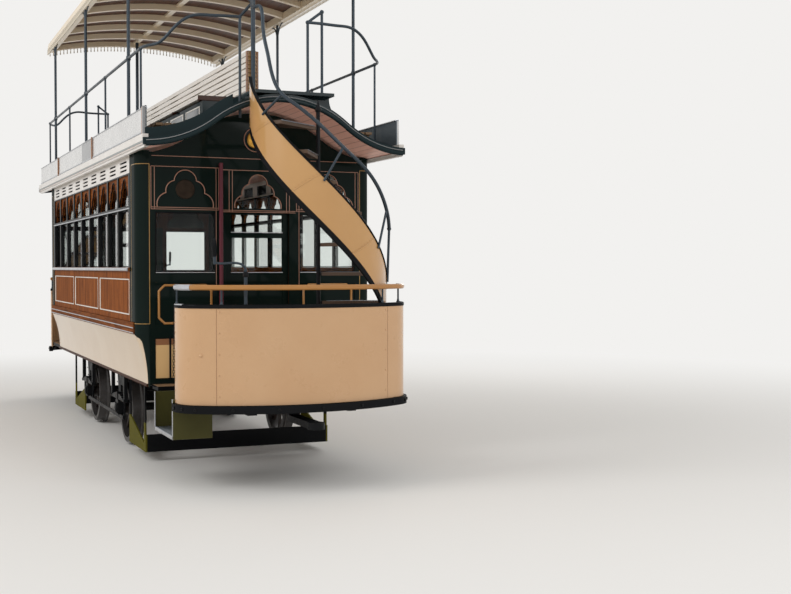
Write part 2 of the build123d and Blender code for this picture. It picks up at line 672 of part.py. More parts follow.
def build_canopy():
    """The arched canopy, its posts, ribs, laths and hanging edge."""
    radius = (CANOPY_HALF ** 2 + CANOPY_RISE ** 2) / (2 * CANOPY_RISE)
    crown = CANOPY_EDGE_Z + CANOPY_RISE
    beam_y = CANOPY_HALF - 32.3

    def arch(lift_low, lift_high, half):
        """A shallow arched band, drawn as (y, z)."""
        drop = radius - math.sqrt(radius ** 2 - half ** 2)
        low = [(-half, crown - drop + lift_low), (0, crown + lift_low), (half, crown - drop + lift_low)]
        high = [(-half, crown - drop + lift_high), (0, crown + lift_high), (half, crown - drop + lift_high)]
        edges = [
            ThreePointArc(low[0], low[1], low[2]),
            Line(low[2], high[2]),
            ThreePointArc(high[2], high[1], high[0]),
            Line(high[0], low[0]),
        ]
        return make_face(Wire(edges))

    add("canopy_roof", extrude_x(arch(0, 14, CANOPY_HALF), -CANOPY_END, CANOPY_END))
    ribs = []
    for number in range(10):
        x = (number - 4.5) * (2 * CANOPY_END - 90) / 9
        ribs.append(extrude_x(arch(-60, 0, beam_y), x - 28, x + 28))
    ribs.append(extrude_x(arch(-22, 0, 30), -CANOPY_END + 20, CANOPY_END - 20))
    for side in (-1, 1):
        y = side * beam_y
        ribs.append(block(-CANOPY_END, CANOPY_END, y - 32, y + 32, CANOPY_EDGE_Z - 60, CANOPY_EDGE_Z + 40))
    add("canopy_frame", join(ribs))
    posts = []
    for x in (-CANOPY_POST_X, 0, CANOPY_POST_X):
        for y in (-1, 1):
            foot = (x, y * DECK_RAIL_HALF, EAVE_Z + 60)
            posts.append(rod(foot, (x, y * DECK_RAIL_HALF, CANOPY_EDGE_Z - 60), 14))
    for x in (-1, 1):
        middle = x * (SEAT_END + 36)
        posts.append(rod((middle, 0, LANDING_Z), (middle, 0, crown - 12), 19))
    add("canopy_posts", gather(posts))
    edge = block(-CANOPY_END, CANOPY_END, CANOPY_HALF, CANOPY_HALF + 8, CANOPY_EDGE_Z - 30, CANOPY_EDGE_Z + 14)
    end = extrude_x(arch(-44, 14, CANOPY_HALF), CANOPY_END, CANOPY_END + 8)
    add("canopy_valance", gather([edge, mirrored(edge), end, turned(end)]))


def stair_point(angle, radius, z):
    """A point on the stair's plan circle at an angle in degrees."""
    turn = math.radians(angle)
    return (STAIR_X + radius * math.cos(turn), STAIR_Y + radius * math.sin(turn), z)


def panel_top(angle):
    """The height of the stair panel's top edge at an angle in degrees."""
    rise = (LANDING_Z + 102 - PLATFORM_Z - 240) / (STAIR_START - STAIR_STOP)
    return PLATFORM_Z + 240 + rise * (STAIR_START - angle)


def build_stairs():
    """The winding stair from the platform to the upper deck, at both ends."""
    turn = (STAIR_STOP - STAIR_START) / STAIR_STEPS
    disc = Circle(STAIR_R + 3)
    treads = []
    for number in range(STAIR_STEPS - 1):
        a0 = STAIR_START + turn * number
        a1 = a0 + turn
        z = PLATFORM_Z + STAIR_RISE * (number + 1)
        rim = STAIR_R + 90
        points = [(0, 0)]
        for angle in (a0 + 2.5, (a0 + a1) / 2, a1):
            points.append((rim * math.cos(math.radians(angle)), rim * math.sin(math.radians(angle))))
        wedge = polygon(points) & disc
        treads.append(extrude_z(Pos(STAIR_X, STAIR_Y) * wedge, z - 28, z))
    post = rod((STAIR_X, STAIR_Y, PLATFORM_Z), (STAIR_X, STAIR_Y, RAIL + 2905), 16)
    tip = Pos(STAIR_X, STAIR_Y, RAIL + 2940) * Cone(22, 2, 70)
    bead = Pos(STAIR_X, STAIR_Y, RAIL + 2900) * Sphere(26)
    treads.extend([post, tip, bead])
    add("stairs", both_ends(join(treads)))
    slope = (panel_top(STAIR_STOP) - panel_top(STAIR_START)) / (STAIR_START - STAIR_STOP)
    sweep_turn = STAIR_START - STAIR_STOP
    height = slope * sweep_turn
    path = Helix(pitch=slope * 360, height=height, radius=STAIR_R + 7, lefthand=True)
    section = Plane(origin=(STAIR_R + 7, 0, 0), x_dir=(1, 0, 0), z_dir=(0, -1, 0)) * Rectangle(12, PANEL_TALL)
    band = sweep(section, path=path, is_frenet=True)
    band = Rot(0, 0, STAIR_START) * band
    band = Pos(STAIR_X, STAIR_Y, panel_top(STAIR_START) - PANEL_TALL / 2) * band
    floor = block(STAIR_X - 900, STAIR_X + 900, STAIR_Y - 900, STAIR_Y + 900, PLATFORM_Z - 600, PLATFORM_Z)
    add("stair_panels", both_ends(band - floor))
    lifts = (
        (-101, 594),
        (-94, 640),
        (-80, 690),
        (-72, 760),
        (-67, 630),
        (-62, 487),
        (-57, 360),
        (-48, 300),
        (-38, 320),
        (-23, 345),
        (0, 355),
        (24, 395),
        (45, 395),
        (66, 380),
    )
    points = []
    for angle, lift in lifts:
        out = STAIR_R + 34 if angle > -90 else STAIR_R + 8
        points.append(stair_point(angle, out, panel_top(angle) + lift))
    rail = pipe(Spline(*points), 14)
    bars = [rail, Pos(*points[-1]) * Sphere(17), Pos(*points[0]) * Sphere(17)]
    for foot_angle, head_angle in ((-70, -48), (-15, 0), (38, 52)):
        foot = stair_point(foot_angle, STAIR_R + 20, panel_top(foot_angle) - 40)
        lift = dict(lifts).get(head_angle, 392)
        head = stair_point(head_angle, STAIR_R + 34, panel_top(head_angle) + lift)
        bars.append(rod(foot, head, 9))
    foot = stair_point(66, STAIR_R + 20, panel_top(66) - 40)
    bars.append(rod(foot, points[-1], 10))
    add("stair_rails", both_ends(join(bars)))


def build_platform_fittings():
    """Dashes, handrails, bumpers, step wells, brake columns and draw gear."""
    ring = platform_face(0) - platform_face(12)
    side = Pos(DASH_SIDE_X, 0) * Rectangle(2000, 3000, align=(Align.MIN, Align.CENTER))
    dash = extrude_z(ring & side, PLATFORM_Z - 60, DASH_TOP_Z)
    add("dashes", both_ends(dash))
    cap = (platform_face(-4) - platform_face(16)) & side
    rim = extrude_z(cap, DASH_TOP_Z, DASH_TOP_Z + 22)
    bumper = extrude_z((platform_face(-26) - platform_face(16)) & side, PLATFORM_Z - 120, PLATFORM_Z - 62)
    add("dash_rims", both_ends(rim))
    add("bumpers", both_ends(bumper))
    hand = extrude_z((platform_face(-7) - platform_face(31)) & side, DASH_RAIL_Z - 19, DASH_RAIL_Z + 19)
    hand = chamfer(hand.edges().filter_by(GeomType.LINE, reverse=True), 9)
    add("dash_handrails", both_ends(hand))
    posts = []
    edge = PLATFORM_HALF - 12
    for y in (-edge, -0.71 * edge, 0.71 * edge, edge):
        x = DASH_SIDE_X + 20
        if abs(y) < edge:
            x = PLATFORM_END - PLATFORM_BOW_R + math.sqrt((PLATFORM_BOW_R - 14) ** 2 - y ** 2) - 10
        posts.append(rod((x, y, DASH_TOP_Z + 22), (x, y, DASH_RAIL_Z - 19), 7))
    add("dash_rail_posts", both_ends(gather(posts)))
    inner = PLATFORM_HALF + 15 - STEP_DEEP
    back = STEP_END - STEP_LONG
    well = block(back, STEP_END, -inner - STEP_DEEP, -inner, STEP_Z - 5, PLATFORM_Z - 35)
    hollow = block(back + 12, STEP_END - 12, -inner - STEP_DEEP - 60, -inner - 12, STEP_Z + 15, PLATFORM_Z + 10)
    add("step_wells", both_ends(well - hollow))
    column_x = PLATFORM_END - 130
    column = [rod((column_x, -465, PLATFORM_Z), (column_x, -465, RAIL + 1640), 13)]
    column.append(Pos(column_x, -465, RAIL + 1200) * Cylinder(26, 60))
    arm = Spline(
        (column_x, -465, RAIL + 1632),
        (column_x + 6, -486, RAIL + 1672),
        (column_x + 4, -560, RAIL + 1690),
        (column_x, -692, RAIL + 1694),
    )
    column.append(pipe(arm, 9))
    column.append(rod((column_x, -696, RAIL + 1680), (column_x, -700, RAIL + 1865), 12))
    add("brake_columns", both_ends(join(column)))
    pole_x = BODY_END + 42
    pole = rod((pole_x, -330, PLATFORM_Z), (pole_x, -330, RAIL + 2520), 17)
    brackets = []
    for z in (RAIL + 1150, RAIL + 2500):
        brackets.append(block(BODY_END, pole_x, -342, -318, z - 12, z + 12))
    add("grab_poles", both_ends(join([pole] + brackets)))
    eye_x = PLATFORM_END + 100
    low = RAIL + 470
    back = PLATFORM_END - 460
    bar = block(back, eye_x, -45, 45, low, low + 50)
    eye = Pos(eye_x, 0, low + 25) * Cylinder(62, 50)
    bore = Pos(eye_x, 0, low + 25) * Cylinder(21, 80)
    hanger = block(back, back + 60, -45, 45, low, PLATFORM_Z - 35)
    hanger = hanger + block(back, back + 60, -430, 430, PLATFORM_Z - 90, PLATFORM_Z - 36)
    draw = (bar + eye + hanger) - bore
    add("drawbars", both_ends(draw))


def build_inside():
    """Long benches with backs along the saloon's walls."""
    seats = []
    end = BODY_END - 120
    back = ROCKER_HALF - 10
    seats.append(block(-end, end, 480, back, FLOOR_Z + 380, FLOOR_Z + 420))
    seats.append(block(-end, end, 500, 520, FLOOR_Z, FLOOR_Z + 380))
    seats.append(block(-end, end, back - 24, back, FLOOR_Z + 420, SILL_Z - 20))
    bench = join(seats)
    add("saloon_benches", gather([bench, mirrored(bench)]))


build_wheels()
build_running_gear()
build_wheel_guards()
build_underframe()
build_floor()
glass = build_sides()
build_corners()
glass = glass + build_ends()
add("window_glass", gather(glass))
build_roof()
build_upper_deck()
build_deck_rails()
build_landings()
build_canopy()
build_stairs()
build_platform_fittings()
build_inside()

TRIMS = {
    "roof": ["eave_cornices", "hood_fascias", "corner_pillars", "vent_board_left", "vent_board_right"],
    "window_frame_left": ["window_glass"],
    "window_frame_right": ["window_glass"],
    "waist_rails_left": ["window_glass", "corner_pillars"],
    "waist_rails_right": ["window_glass", "corner_pillars"],
    "bulkheads": ["window_glass", "roof"],
    "door_front": ["door_glass_front"],
    "door_rear": ["door_glass_rear"],
    "saloon_floor": ["corner_pillars", "rocker_left", "rocker_right"],
    "saloon_benches": ["rocker_left", "rocker_right"],
    "underframe": ["corner_pillars", "drawbars", "bulkheads"],
    "canopy_frame": ["canopy_roof", "canopy_posts"],
    "deck_side_rails": ["roof", "canopy_posts", "deck_slats"],
    "deck_end_rails": ["roof", "deck_side_rails", "stair_landings", "stair_rails"],
    "canopy_posts": ["roof", "deck_slats", "canopy_roof"],
    "eave_cornices": ["corner_pillars", "hood_fascias"],
    "stair_panels": ["roof", "hood_fascias"],
    "stairs": ["stair_panels", "roof", "hood_fascias", "stair_landings"],
    "stair_rails": ["stair_panels", "stairs"],
    "dash_handrails": ["brake_columns", "stair_panels"],
    "dash_rail_posts": ["stair_panels", "dash_handrails"],
}
for name, tools in TRIMS.items():
    shape = NODES[name]
    solids = []
    blades = [solid for tool in tools for solid in NODES[tool].solids()]
    for solid in shape.solids():
        solids.extend(cut(solid, blades).solids())
    NODES[name] = gather(solids)

os.makedirs("parts", exist_ok=True)
for name, shape in NODES.items():
    export_step(shape, "parts/" + name + ".step")
print(len(NODES), "sub-parts")
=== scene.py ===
"""Finishes, fine trim and a plain studio for a double-deck tram car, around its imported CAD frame.

Lengths are metres in the car's frame: X runs along the track to the near stair, Z is up and -Y is the
side with the near step. Z is measured from the flange tips, 22 mm under the rail head.
"""

from __future__ import annotations

import logging
import math
from dataclasses import dataclass
from enum import Enum
from typing import Iterable, Optional, Sequence, Union

import bmesh
import bpy
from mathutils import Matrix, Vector

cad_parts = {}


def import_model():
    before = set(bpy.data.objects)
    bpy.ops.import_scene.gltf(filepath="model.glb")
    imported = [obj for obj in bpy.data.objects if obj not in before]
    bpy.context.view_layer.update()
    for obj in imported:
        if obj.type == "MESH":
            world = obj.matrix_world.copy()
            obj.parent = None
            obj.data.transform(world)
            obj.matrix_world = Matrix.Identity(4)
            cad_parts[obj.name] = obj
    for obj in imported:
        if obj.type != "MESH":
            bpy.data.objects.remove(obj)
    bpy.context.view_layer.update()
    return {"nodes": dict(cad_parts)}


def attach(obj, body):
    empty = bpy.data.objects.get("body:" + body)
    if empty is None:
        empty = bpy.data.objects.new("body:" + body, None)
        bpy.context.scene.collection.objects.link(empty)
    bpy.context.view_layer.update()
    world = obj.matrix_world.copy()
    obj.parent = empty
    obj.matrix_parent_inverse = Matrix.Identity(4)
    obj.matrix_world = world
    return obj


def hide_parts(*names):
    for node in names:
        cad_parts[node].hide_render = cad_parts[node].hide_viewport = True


LOG = logging.getLogger("tram")
MM = 0.001
CREASE_DEGREES = 38.0
SURROUND_WHITE = "#F2F1EF"
AHEAD = (1, 0, 0)
OUTWARD = (0, 1, 0)
UP = (0, 0, 1)
Tree = bpy.types.NodeTree
Socket = bpy.types.NodeSocket
Point = Union[Vector, Sequence[float]]
Section = Sequence[tuple[float, float]]


class Symmetry(Enum):
    """How a piece repeats over the car."""

    ALONE = "alone"
    HALF_TURN = "half turn"
    SIDES = "sides"
    ALL_FOUR = "all four"


class Grain(Enum):
    """The axis along which boards and their grain run."""

    ALONG = (1.0, 0.0, 0.0)
    ACROSS = (0.0, 1.0, 0.0)
    UPRIGHT = (0.0, 0.0, 1.0)


class Body(Enum):
    """The CAD bodies that pieces ride on."""

    CAR = "root"
    DOOR_FRONT = "door_front"
    DOOR_REAR = "door_rear"


class Slot(Enum):
    """The record's material slots that the trim stands for."""

    IRON = "iron_black"
    GREEN = "body_green"
    MAHOGANY = "mahogany"
    CREAM = "cream_panel"
    OCHRE = "ochre_panel"
    PALE = "pale_paint"
    FLOOR = "floor_wood"
    OLIVE = "olive_plate"
    CANOPY = "canopy_steel"
    GLASS = "clear_glass"


def linear(code: str) -> tuple[float, float, float, float]:
    """Turns an sRGB hex colour into linear values.

    Args:
        code: Six hex digits after a hash.

    Returns:
        Red, green, blue and a full alpha.
    """
    parts = [int(code[i : i + 2], 16) / 255 for i in (1, 3, 5)]
    red, green, blue = (p / 12.92 if p <= 0.04045 else ((p + 0.055) / 1.055) ** 2.4 for p in parts)
    return (red, green, blue, 1.0)


def put(tree: Tree, kind: str, inputs: Optional[dict] = None, **settings) -> bpy.types.Node:
    """Adds one shader node with its settings and links.

    Args:
        tree: The node tree that gets the node.
        kind: The node's type, without the leading ShaderNode.
        inputs: Input names or numbers, each with a value, or the socket or node to link from.
        settings: Attributes of the node itself.

    Returns:
        The new node.
    """
    made = tree.nodes.new("ShaderNode" + kind)
    for key, value in settings.items():
        setattr(made, key, value)
    for key, value in (inputs or {}).items():
        if isinstance(value, bpy.types.Node):
            value = value.outputs[0]
        if isinstance(value, Socket):
            tree.links.new(value, made.inputs[key])
        else:
            made.inputs[key].default_value = value
    return made


def sees_white(tree: Tree) -> Socket:
    """Tells rays that see the white surround from those that only carry light.

    Args:
        tree: The node tree that gets the nodes.

    Returns:
        One for rays from the camera, from gloss or through glass, else zero.
    """
    path = put(tree, "LightPath")
    seen = put(tree, "Math", {0: path.outputs["Is Camera Ray"], 1: path.outputs["Is Glossy Ray"]},
               operation="ADD")
    return put(tree, "Math", {0: seen, 1: path.outputs["Is Transmission Ray"]},
               operation="ADD", use_clamp=True).outputs[0]


@dataclass(frozen=True)
class Finish:
    """What every finish shares: its name and how its material is made once."""

    name: str

    def shade(self, tree: Tree) -> Socket:
        """Builds the shader.

        Args:
            tree: The material's empty node tree.

        Returns:
            The shader socket for the material output.
        """
        raise NotImplementedError

    def material(self) -> bpy.types.Material:
        """The Blender material, made on first use.

        Returns:
            The material.
        """
        found = bpy.data.materials.get(self.name)
        if found is not None:
            return found
        made = bpy.data.materials.new(self.name)
        made.use_nodes = True
        made.node_tree.nodes.clear()
        surface = self.shade(made.node_tree)
        put(made.node_tree, "OutputMaterial", {"Surface": surface})
        return made

    def dress(self, thing: bpy.types.Object) -> None:
        """Gives an object this finish alone.

        Args:
            thing: The mesh object to dress.
        """
        if not thing.data.materials:
            thing.data.materials.append(self.material())
        for place in thing.material_slots:
            place.material = self.material()


@dataclass(frozen=True)
class CoachEnamel(Finish):
    """Brushed oil enamel under coach varnish: deep and glossy, with a faint brush ripple and soft dust."""

    colour: str
    shade_of: str
    worn: str = "#6B5A48"
    roughness: float = 0.16
    ripple_mm: float = 14.0
    dust: float = 0.25
    chips: float = 0.2
    gloss: float = 0.35
    coat: float = 0.3

    def shade(self, tree: Tree) -> Socket:
        """Colour drifts over the panel, edges chip, dust dulls the varnish.

        Args:
            tree: The material's empty node tree.

        Returns:
            The shader socket.
        """
        place = put(tree, "TexCoord").outputs["Object"]
        drift = put(tree, "TexNoise", {"Vector": place, "Scale": 1.7, "Detail": 4.0, "Roughness": 0.55})
        tone = put(tree, "Mix", {0: drift, 6: linear(self.colour), 7: linear(self.shade_of)},
                   data_type="RGBA")
        soft = put(tree, "Bevel", {"Radius": 3.5 * MM}, samples=4)
        flat = put(tree, "NewGeometry").outputs["Normal"]
        match = put(tree, "VectorMath", {0: soft, 1: flat}, operation="DOT_PRODUCT")
        flake = put(tree, "TexNoise", {"Vector": place, "Scale": 1 / (22 * MM), "Detail": 5.0,
                                       "Roughness": 0.7})
        edge = put(tree, "MapRange", {"Value": match.outputs["Value"], "From Min": 0.97, "From Max": 0.80,
                                      "To Max": self.chips})
        bare = put(tree, "Math", {0: edge, 1: flake}, operation="MULTIPLY")
        bare = put(tree, "MapRange", {"Value": bare, "From Min": 0.12, "From Max": 0.24})
        paint = put(tree, "Mix", {0: bare, 6: tone.outputs[2], 7: linear(self.worn)}, data_type="RGBA")
        haze = put(tree, "TexNoise", {"Vector": place, "Scale": 5.5, "Detail": 6.0, "Roughness": 0.6})
        dull = put(tree, "MapRange", {"Value": haze, "From Min": 0.35, "From Max": 0.75,
                                      "To Min": self.roughness,
                                      "To Max": self.roughness + 0.22 * self.dust})
        stretch = put(tree, "Mapping", {"Vector": place, "Scale": (1.0, 1.0, 0.12)})
        ripple = put(tree, "TexNoise", {"Vector": stretch, "Scale": 1 / (self.ripple_mm * MM),
                                        "Detail": 3.0})
        bump = put(tree, "Bump", {"Height": ripple, "Normal": soft, "Strength": 0.10, "Distance": 0.6 * MM})
        return put(tree, "BsdfPrincipled", {
            "Base Color": paint.outputs[2], "Roughness": dull, "Normal": bump,
            "IOR": 1.5, "Specular IOR Level": self.gloss, "Coat Weight": self.coat, "Coat Roughness": 0.06,
            "Coat IOR": 1.5,
        }).outputs[0]


@dataclass(frozen=True)
class VarnishedMahogany(Finish):
    """French-polished mahogany: red-brown ribbon figure and dark pores under a thick clear coat."""

    pale: str
    deep: str
    grain: Grain = Grain.UPRIGHT
    figure_mm: float = 38.0
    pore_mm: float = 2.4
    roughness: float = 0.22
    coat: float = 0.22

    def shade(self, tree: Tree) -> Socket:
        """Ribbon figure, pores drawn out along the grain and a polished coat.

        Pores are really 0.3 mm wide and are drawn near 2.4 mm, so that they show.

        Args:
            tree: The material's empty node tree.

        Returns:
            The shader socket.
        """
        place = put(tree, "TexCoord").outputs["Object"]
        stretch = tuple(0.07 if part else 1.0 for part in self.grain.value)
        along = put(tree, "Mapping", {"Vector": place, "Scale": stretch})
        wander = put(tree, "TexNoise", {"Vector": along, "Scale": 1 / (self.figure_mm * MM),
                                        "Detail": 5.0, "Roughness": 0.6, "Distortion": 1.4})
        pores = put(tree, "TexNoise", {"Vector": along, "Scale": 1 / (self.pore_mm * MM),
                                       "Detail": 3.0, "Roughness": 0.75})
        ramp = put(tree, "ValToRGB", {"Fac": wander})
        ramp.color_ramp.elements[0].position = 0.30
        ramp.color_ramp.elements[0].color = linear(self.deep)
        ramp.color_ramp.elements[1].position = 0.68
        ramp.color_ramp.elements[1].color = linear(self.pale)
        vein = put(tree, "MapRange", {"Value": pores, "From Min": 0.56, "From Max": 0.70, "To Max": 0.7})
        wood = put(tree, "Mix", {0: vein, 6: ramp, 7: linear(self.deep)}, data_type="RGBA")
        soft = put(tree, "Bevel", {"Radius": 3.0 * MM}, samples=4)
        bump = put(tree, "Bump", {"Height": pores, "Normal": soft, "Strength": 0.16, "Distance": 0.4 * MM})
        return put(tree, "BsdfPrincipled", {
            "Base Color": wood.outputs[2], "Roughness": self.roughness + 0.16, "Normal": bump,
            "IOR": 1.5, "Specular IOR Level": 0.0, "Coat Weight": self.coat, "Coat Roughness": 0.07,
        }).outputs[0]


@dataclass(frozen=True)
class PaintedBoards(Finish):
    """Tongued and grooved softwood under oil paint: shallow grooves, brush marks and grimy joints."""

    colour: str
    joint: str
    run: Grain = Grain.ALONG
    board_mm: float = 72.0
    roughness: float = 0.38
    top: Optional[str] = None

    def shade(self, tree: Tree) -> Socket:
        """Dark joints at the board pitch, tone by board, and plain canvas paint above when it has a top.

        Args:
            tree: The material's empty node tree.

        Returns:
            The shader socket.
        """
        place = put(tree, "TexCoord").outputs["Object"]
        split = put(tree, "SeparateXYZ", {0: place})
        measure = split.outputs[1] if self.run is Grain.ALONG else split.outputs[0]
        count = put(tree, "Math", {0: measure, 1: self.board_mm * MM}, operation="DIVIDE")
        part = put(tree, "Math", {0: count}, operation="FRACT")
        far = put(tree, "Math", {0: part, 1: 0.5}, operation="SUBTRACT")
        gap = put(tree, "Math", {0: far}, operation="ABSOLUTE")
        groove = put(tree, "MapRange", {"Value": gap, "From Min": 0.44, "From Max": 0.485})
        whole = put(tree, "Math", {0: count}, operation="FLOOR")
        tone = put(tree, "TexWhiteNoise", {"W": whole}, noise_dimensions="1D")
        stretch = tuple(0.05 if axis else 1.0 for axis in self.run.value)
        along = put(tree, "Mapping", {"Vector": place, "Scale": stretch})
        brush = put(tree, "TexNoise", {"Vector": along, "Scale": 1 / (5 * MM), "Detail": 4.0})
        drift = put(tree, "Math", {0: tone, 1: brush}, operation="MULTIPLY")
        drift = put(tree, "MapRange", {"Value": drift, "From Max": 0.8, "To Max": 0.32})
        paint = put(tree, "Mix", {0: drift, 6: linear(self.colour), 7: linear(self.joint)},
                    data_type="RGBA")
        lined = put(tree, "Mix", {0: groove, 6: paint.outputs[2], 7: linear(self.joint)}, data_type="RGBA")
        colour = lined.outputs[2]
        depth = put(tree, "Math", {0: 1.0, 1: groove}, operation="SUBTRACT").outputs[0]
        if self.top:
            facing = put(tree, "SeparateXYZ", {0: put(tree, "NewGeometry").outputs["True Normal"]})
            upper = put(tree, "MapRange", {"Value": facing.outputs[2], "From Min": -0.35, "From Max": -0.2})
            colour = put(tree, "Mix", {0: upper, 6: colour, 7: linear(self.top)},
                         data_type="RGBA").outputs[2]
            depth = put(tree, "Math", {0: depth, 1: upper}, operation="MAXIMUM").outputs[0]
        soft = put(tree, "Bevel", {"Radius": 2.5 * MM}, samples=4)
        cut = put(tree, "Bump", {"Height": depth, "Normal": soft, "Strength": 0.7, "Distance": 3 * MM})
        bump = put(tree, "Bump", {"Height": brush, "Normal": cut, "Strength": 0.12, "Distance": 0.5 * MM})
        rough = put(tree, "MapRange", {"Value": brush, "To Min": self.roughness,
                                       "To Max": self.roughness + 0.18})
        return put(tree, "BsdfPrincipled", {
            "Base Color": colour, "Roughness": rough, "Normal": bump, "IOR": 1.5,
        }).outputs[0]


@dataclass(frozen=True)
class WornOak(Finish):
    """Scrubbed oak boards: open grain, grey-brown wear and dirt in the gaps."""

    pale: str
    deep: str
    run: Grain = Grain.ALONG
    grain_mm: float = 3.2
    roughness: float = 0.55

    def shade(self, tree: Tree) -> Socket:
        """Streaked grain with patches of wear.

        Growth rings near 1 mm apart are drawn at 3 mm, so that they show.

        Args:
            tree: The material's empty node tree.

        Returns:
            The shader socket.
        """
        place = put(tree, "TexCoord").outputs["Object"]
        stretch = tuple(0.06 if axis else 1.0 for axis in self.run.value)
        along = put(tree, "Mapping", {"Vector": place, "Scale": stretch})
        rings = put(tree, "TexNoise", {"Vector": along, "Scale": 1 / (self.grain_mm * MM * 4),
                                       "Detail": 8.0, "Roughness": 0.72, "Distortion": 0.8})
        wear = put(tree, "TexNoise", {"Vector": place, "Scale": 3.2, "Detail": 5.0})
        wood = put(tree, "Mix", {0: rings, 6: linear(self.deep), 7: linear(self.pale)}, data_type="RGBA")
        rub = put(tree, "MapRange", {"Value": wear, "From Min": 0.45, "From Max": 0.72, "To Max": 0.5})
        tone = put(tree, "Mix", {0: rub, 6: wood.outputs[2], 7: linear(self.pale)}, data_type="RGBA")
        rough = put(tree, "MapRange", {"Value": rings, "To Min": self.roughness - 0.12,
                                       "To Max": self.roughness + 0.2})
        soft = put(tree, "Bevel", {"Radius": 2.5 * MM}, samples=4)
        bump = put(tree, "Bump", {"Height": rings, "Normal": soft, "Strength": 0.35, "Distance": 0.8 * MM})
        return put(tree, "BsdfPrincipled", {
            "Base Color": tone.outputs[2], "Roughness": rough, "Normal": bump, "IOR": 1.45,
        }).outputs[0]


@dataclass(frozen=True)
class BlackedIron(Finish):
    """Wrought iron under black varnish: satin, hammered, rubbed to bare metal along its edges."""

    colour: str = "#17181B"
    rust: str = "#4A2A18"
    rub: str = "#6E6C6A"
    roughness: float = 0.36
    hammer_mm: float = 26.0
    wear: float = 0.5
    metal: float = 0.15

    def shade(self, tree: Tree) -> Socket:
        """Hammer marks, a little rust in patches and rubbed edges.

        Args:
            tree: The material's empty node tree.

        Returns:
            The shader socket.
        """
        place = put(tree, "TexCoord").outputs["Object"]
        patch = put(tree, "TexNoise", {"Vector": place, "Scale": 1 / (95 * MM), "Detail": 7.0,
                                       "Roughness": 0.68})
        spot = put(tree, "MapRange", {"Value": patch, "From Min": 0.60, "From Max": 0.74, "To Max": 0.55})
        base = put(tree, "Mix", {0: spot, 6: linear(self.colour), 7: linear(self.rust)}, data_type="RGBA")
        soft = put(tree, "Bevel", {"Radius": 3 * MM}, samples=4)
        flat = put(tree, "NewGeometry").outputs["Normal"]
        match = put(tree, "VectorMath", {0: soft, 1: flat}, operation="DOT_PRODUCT")
        edge = put(tree, "MapRange", {"Value": match.outputs["Value"], "From Min": 0.97, "From Max": 0.78,
                                      "To Max": self.wear})
        rubbed = put(tree, "Math", {0: edge, 1: patch}, operation="MULTIPLY")
        tone = put(tree, "Mix", {0: rubbed, 6: base.outputs[2], 7: linear(self.rub)}, data_type="RGBA")
        rough = put(tree, "MapRange", {"Value": patch, "From Min": 0.3, "From Max": 0.75,
                                       "To Min": self.roughness - 0.06, "To Max": self.roughness + 0.28})
        marks = put(tree, "TexNoise", {"Vector": place, "Scale": 1 / (self.hammer_mm * MM), "Detail": 2.0})
        bump = put(tree, "Bump", {"Height": marks, "Normal": soft, "Strength": 0.18, "Distance": 1.2 * MM})
        return put(tree, "BsdfPrincipled", {
            "Base Color": tone.outputs[2], "Metallic": self.metal, "Roughness": rough,
            "Specular IOR Level": 0.12, "Normal": bump,
        }).outputs[0]


@dataclass(frozen=True)
class TyredWheel(Finish):
    """A cast wheel in black paint with a steel tyre: the tyre is bare, dull grey and flecked with rust."""

    axle_x: float = 0.9
    axle_z: float = 0.352
    tread_r: float = 0.283

    def shade(self, tree: Tree) -> Socket:
        """Mixes painted casting and bare tyre by the distance from the axle.

        Args:
            tree: The material's empty node tree.

        Returns:
            The shader socket.
        """
        place = put(tree, "TexCoord").outputs["Object"]
        hub = put(tree, "VectorMath", {0: place, 1: (self.axle_x, 0.0, self.axle_z)}, operation="SUBTRACT")
        flat = put(tree, "VectorMath", {0: hub, 1: (1.0, 0.0, 1.0)}, operation="MULTIPLY")
        reach = put(tree, "VectorMath", {0: flat}, operation="LENGTH")
        rim = put(tree, "MapRange", {"Value": reach.outputs["Value"], "From Min": self.tread_r,
                                     "From Max": self.tread_r + 2 * MM})
        rust = put(tree, "TexNoise", {"Vector": place, "Scale": 1 / (40 * MM), "Detail": 8.0,
                                      "Roughness": 0.7})
        paint = put(tree, "Mix", {0: rust, 6: linear("#1B1B1D"), 7: linear("#3A2A20")}, data_type="RGBA")
        tyre = put(tree, "Mix", {0: rust, 6: linear("#5A5A5B"), 7: linear("#352C26")}, data_type="RGBA")
        tone = put(tree, "Mix", {0: rim, 6: paint.outputs[2], 7: tyre.outputs[2]}, data_type="RGBA")
        metal = put(tree, "MapRange", {"Value": rim, "To Min": 0.1, "To Max": 0.5})
        rough = put(tree, "MapRange", {"Value": rust, "From Min": 0.3, "From Max": 0.8,
                                       "To Min": 0.3, "To Max": 0.62})
        soft = put(tree, "Bevel", {"Radius": 3 * MM}, samples=4)
        bump = put(tree, "Bump", {"Height": rust, "Normal": soft, "Strength": 0.2, "Distance": 0.8 * MM})
        return put(tree, "BsdfPrincipled", {
            "Base Color": tone.outputs[2], "Metallic": metal, "Roughness": rough, "Normal": bump,
        }).outputs[0]


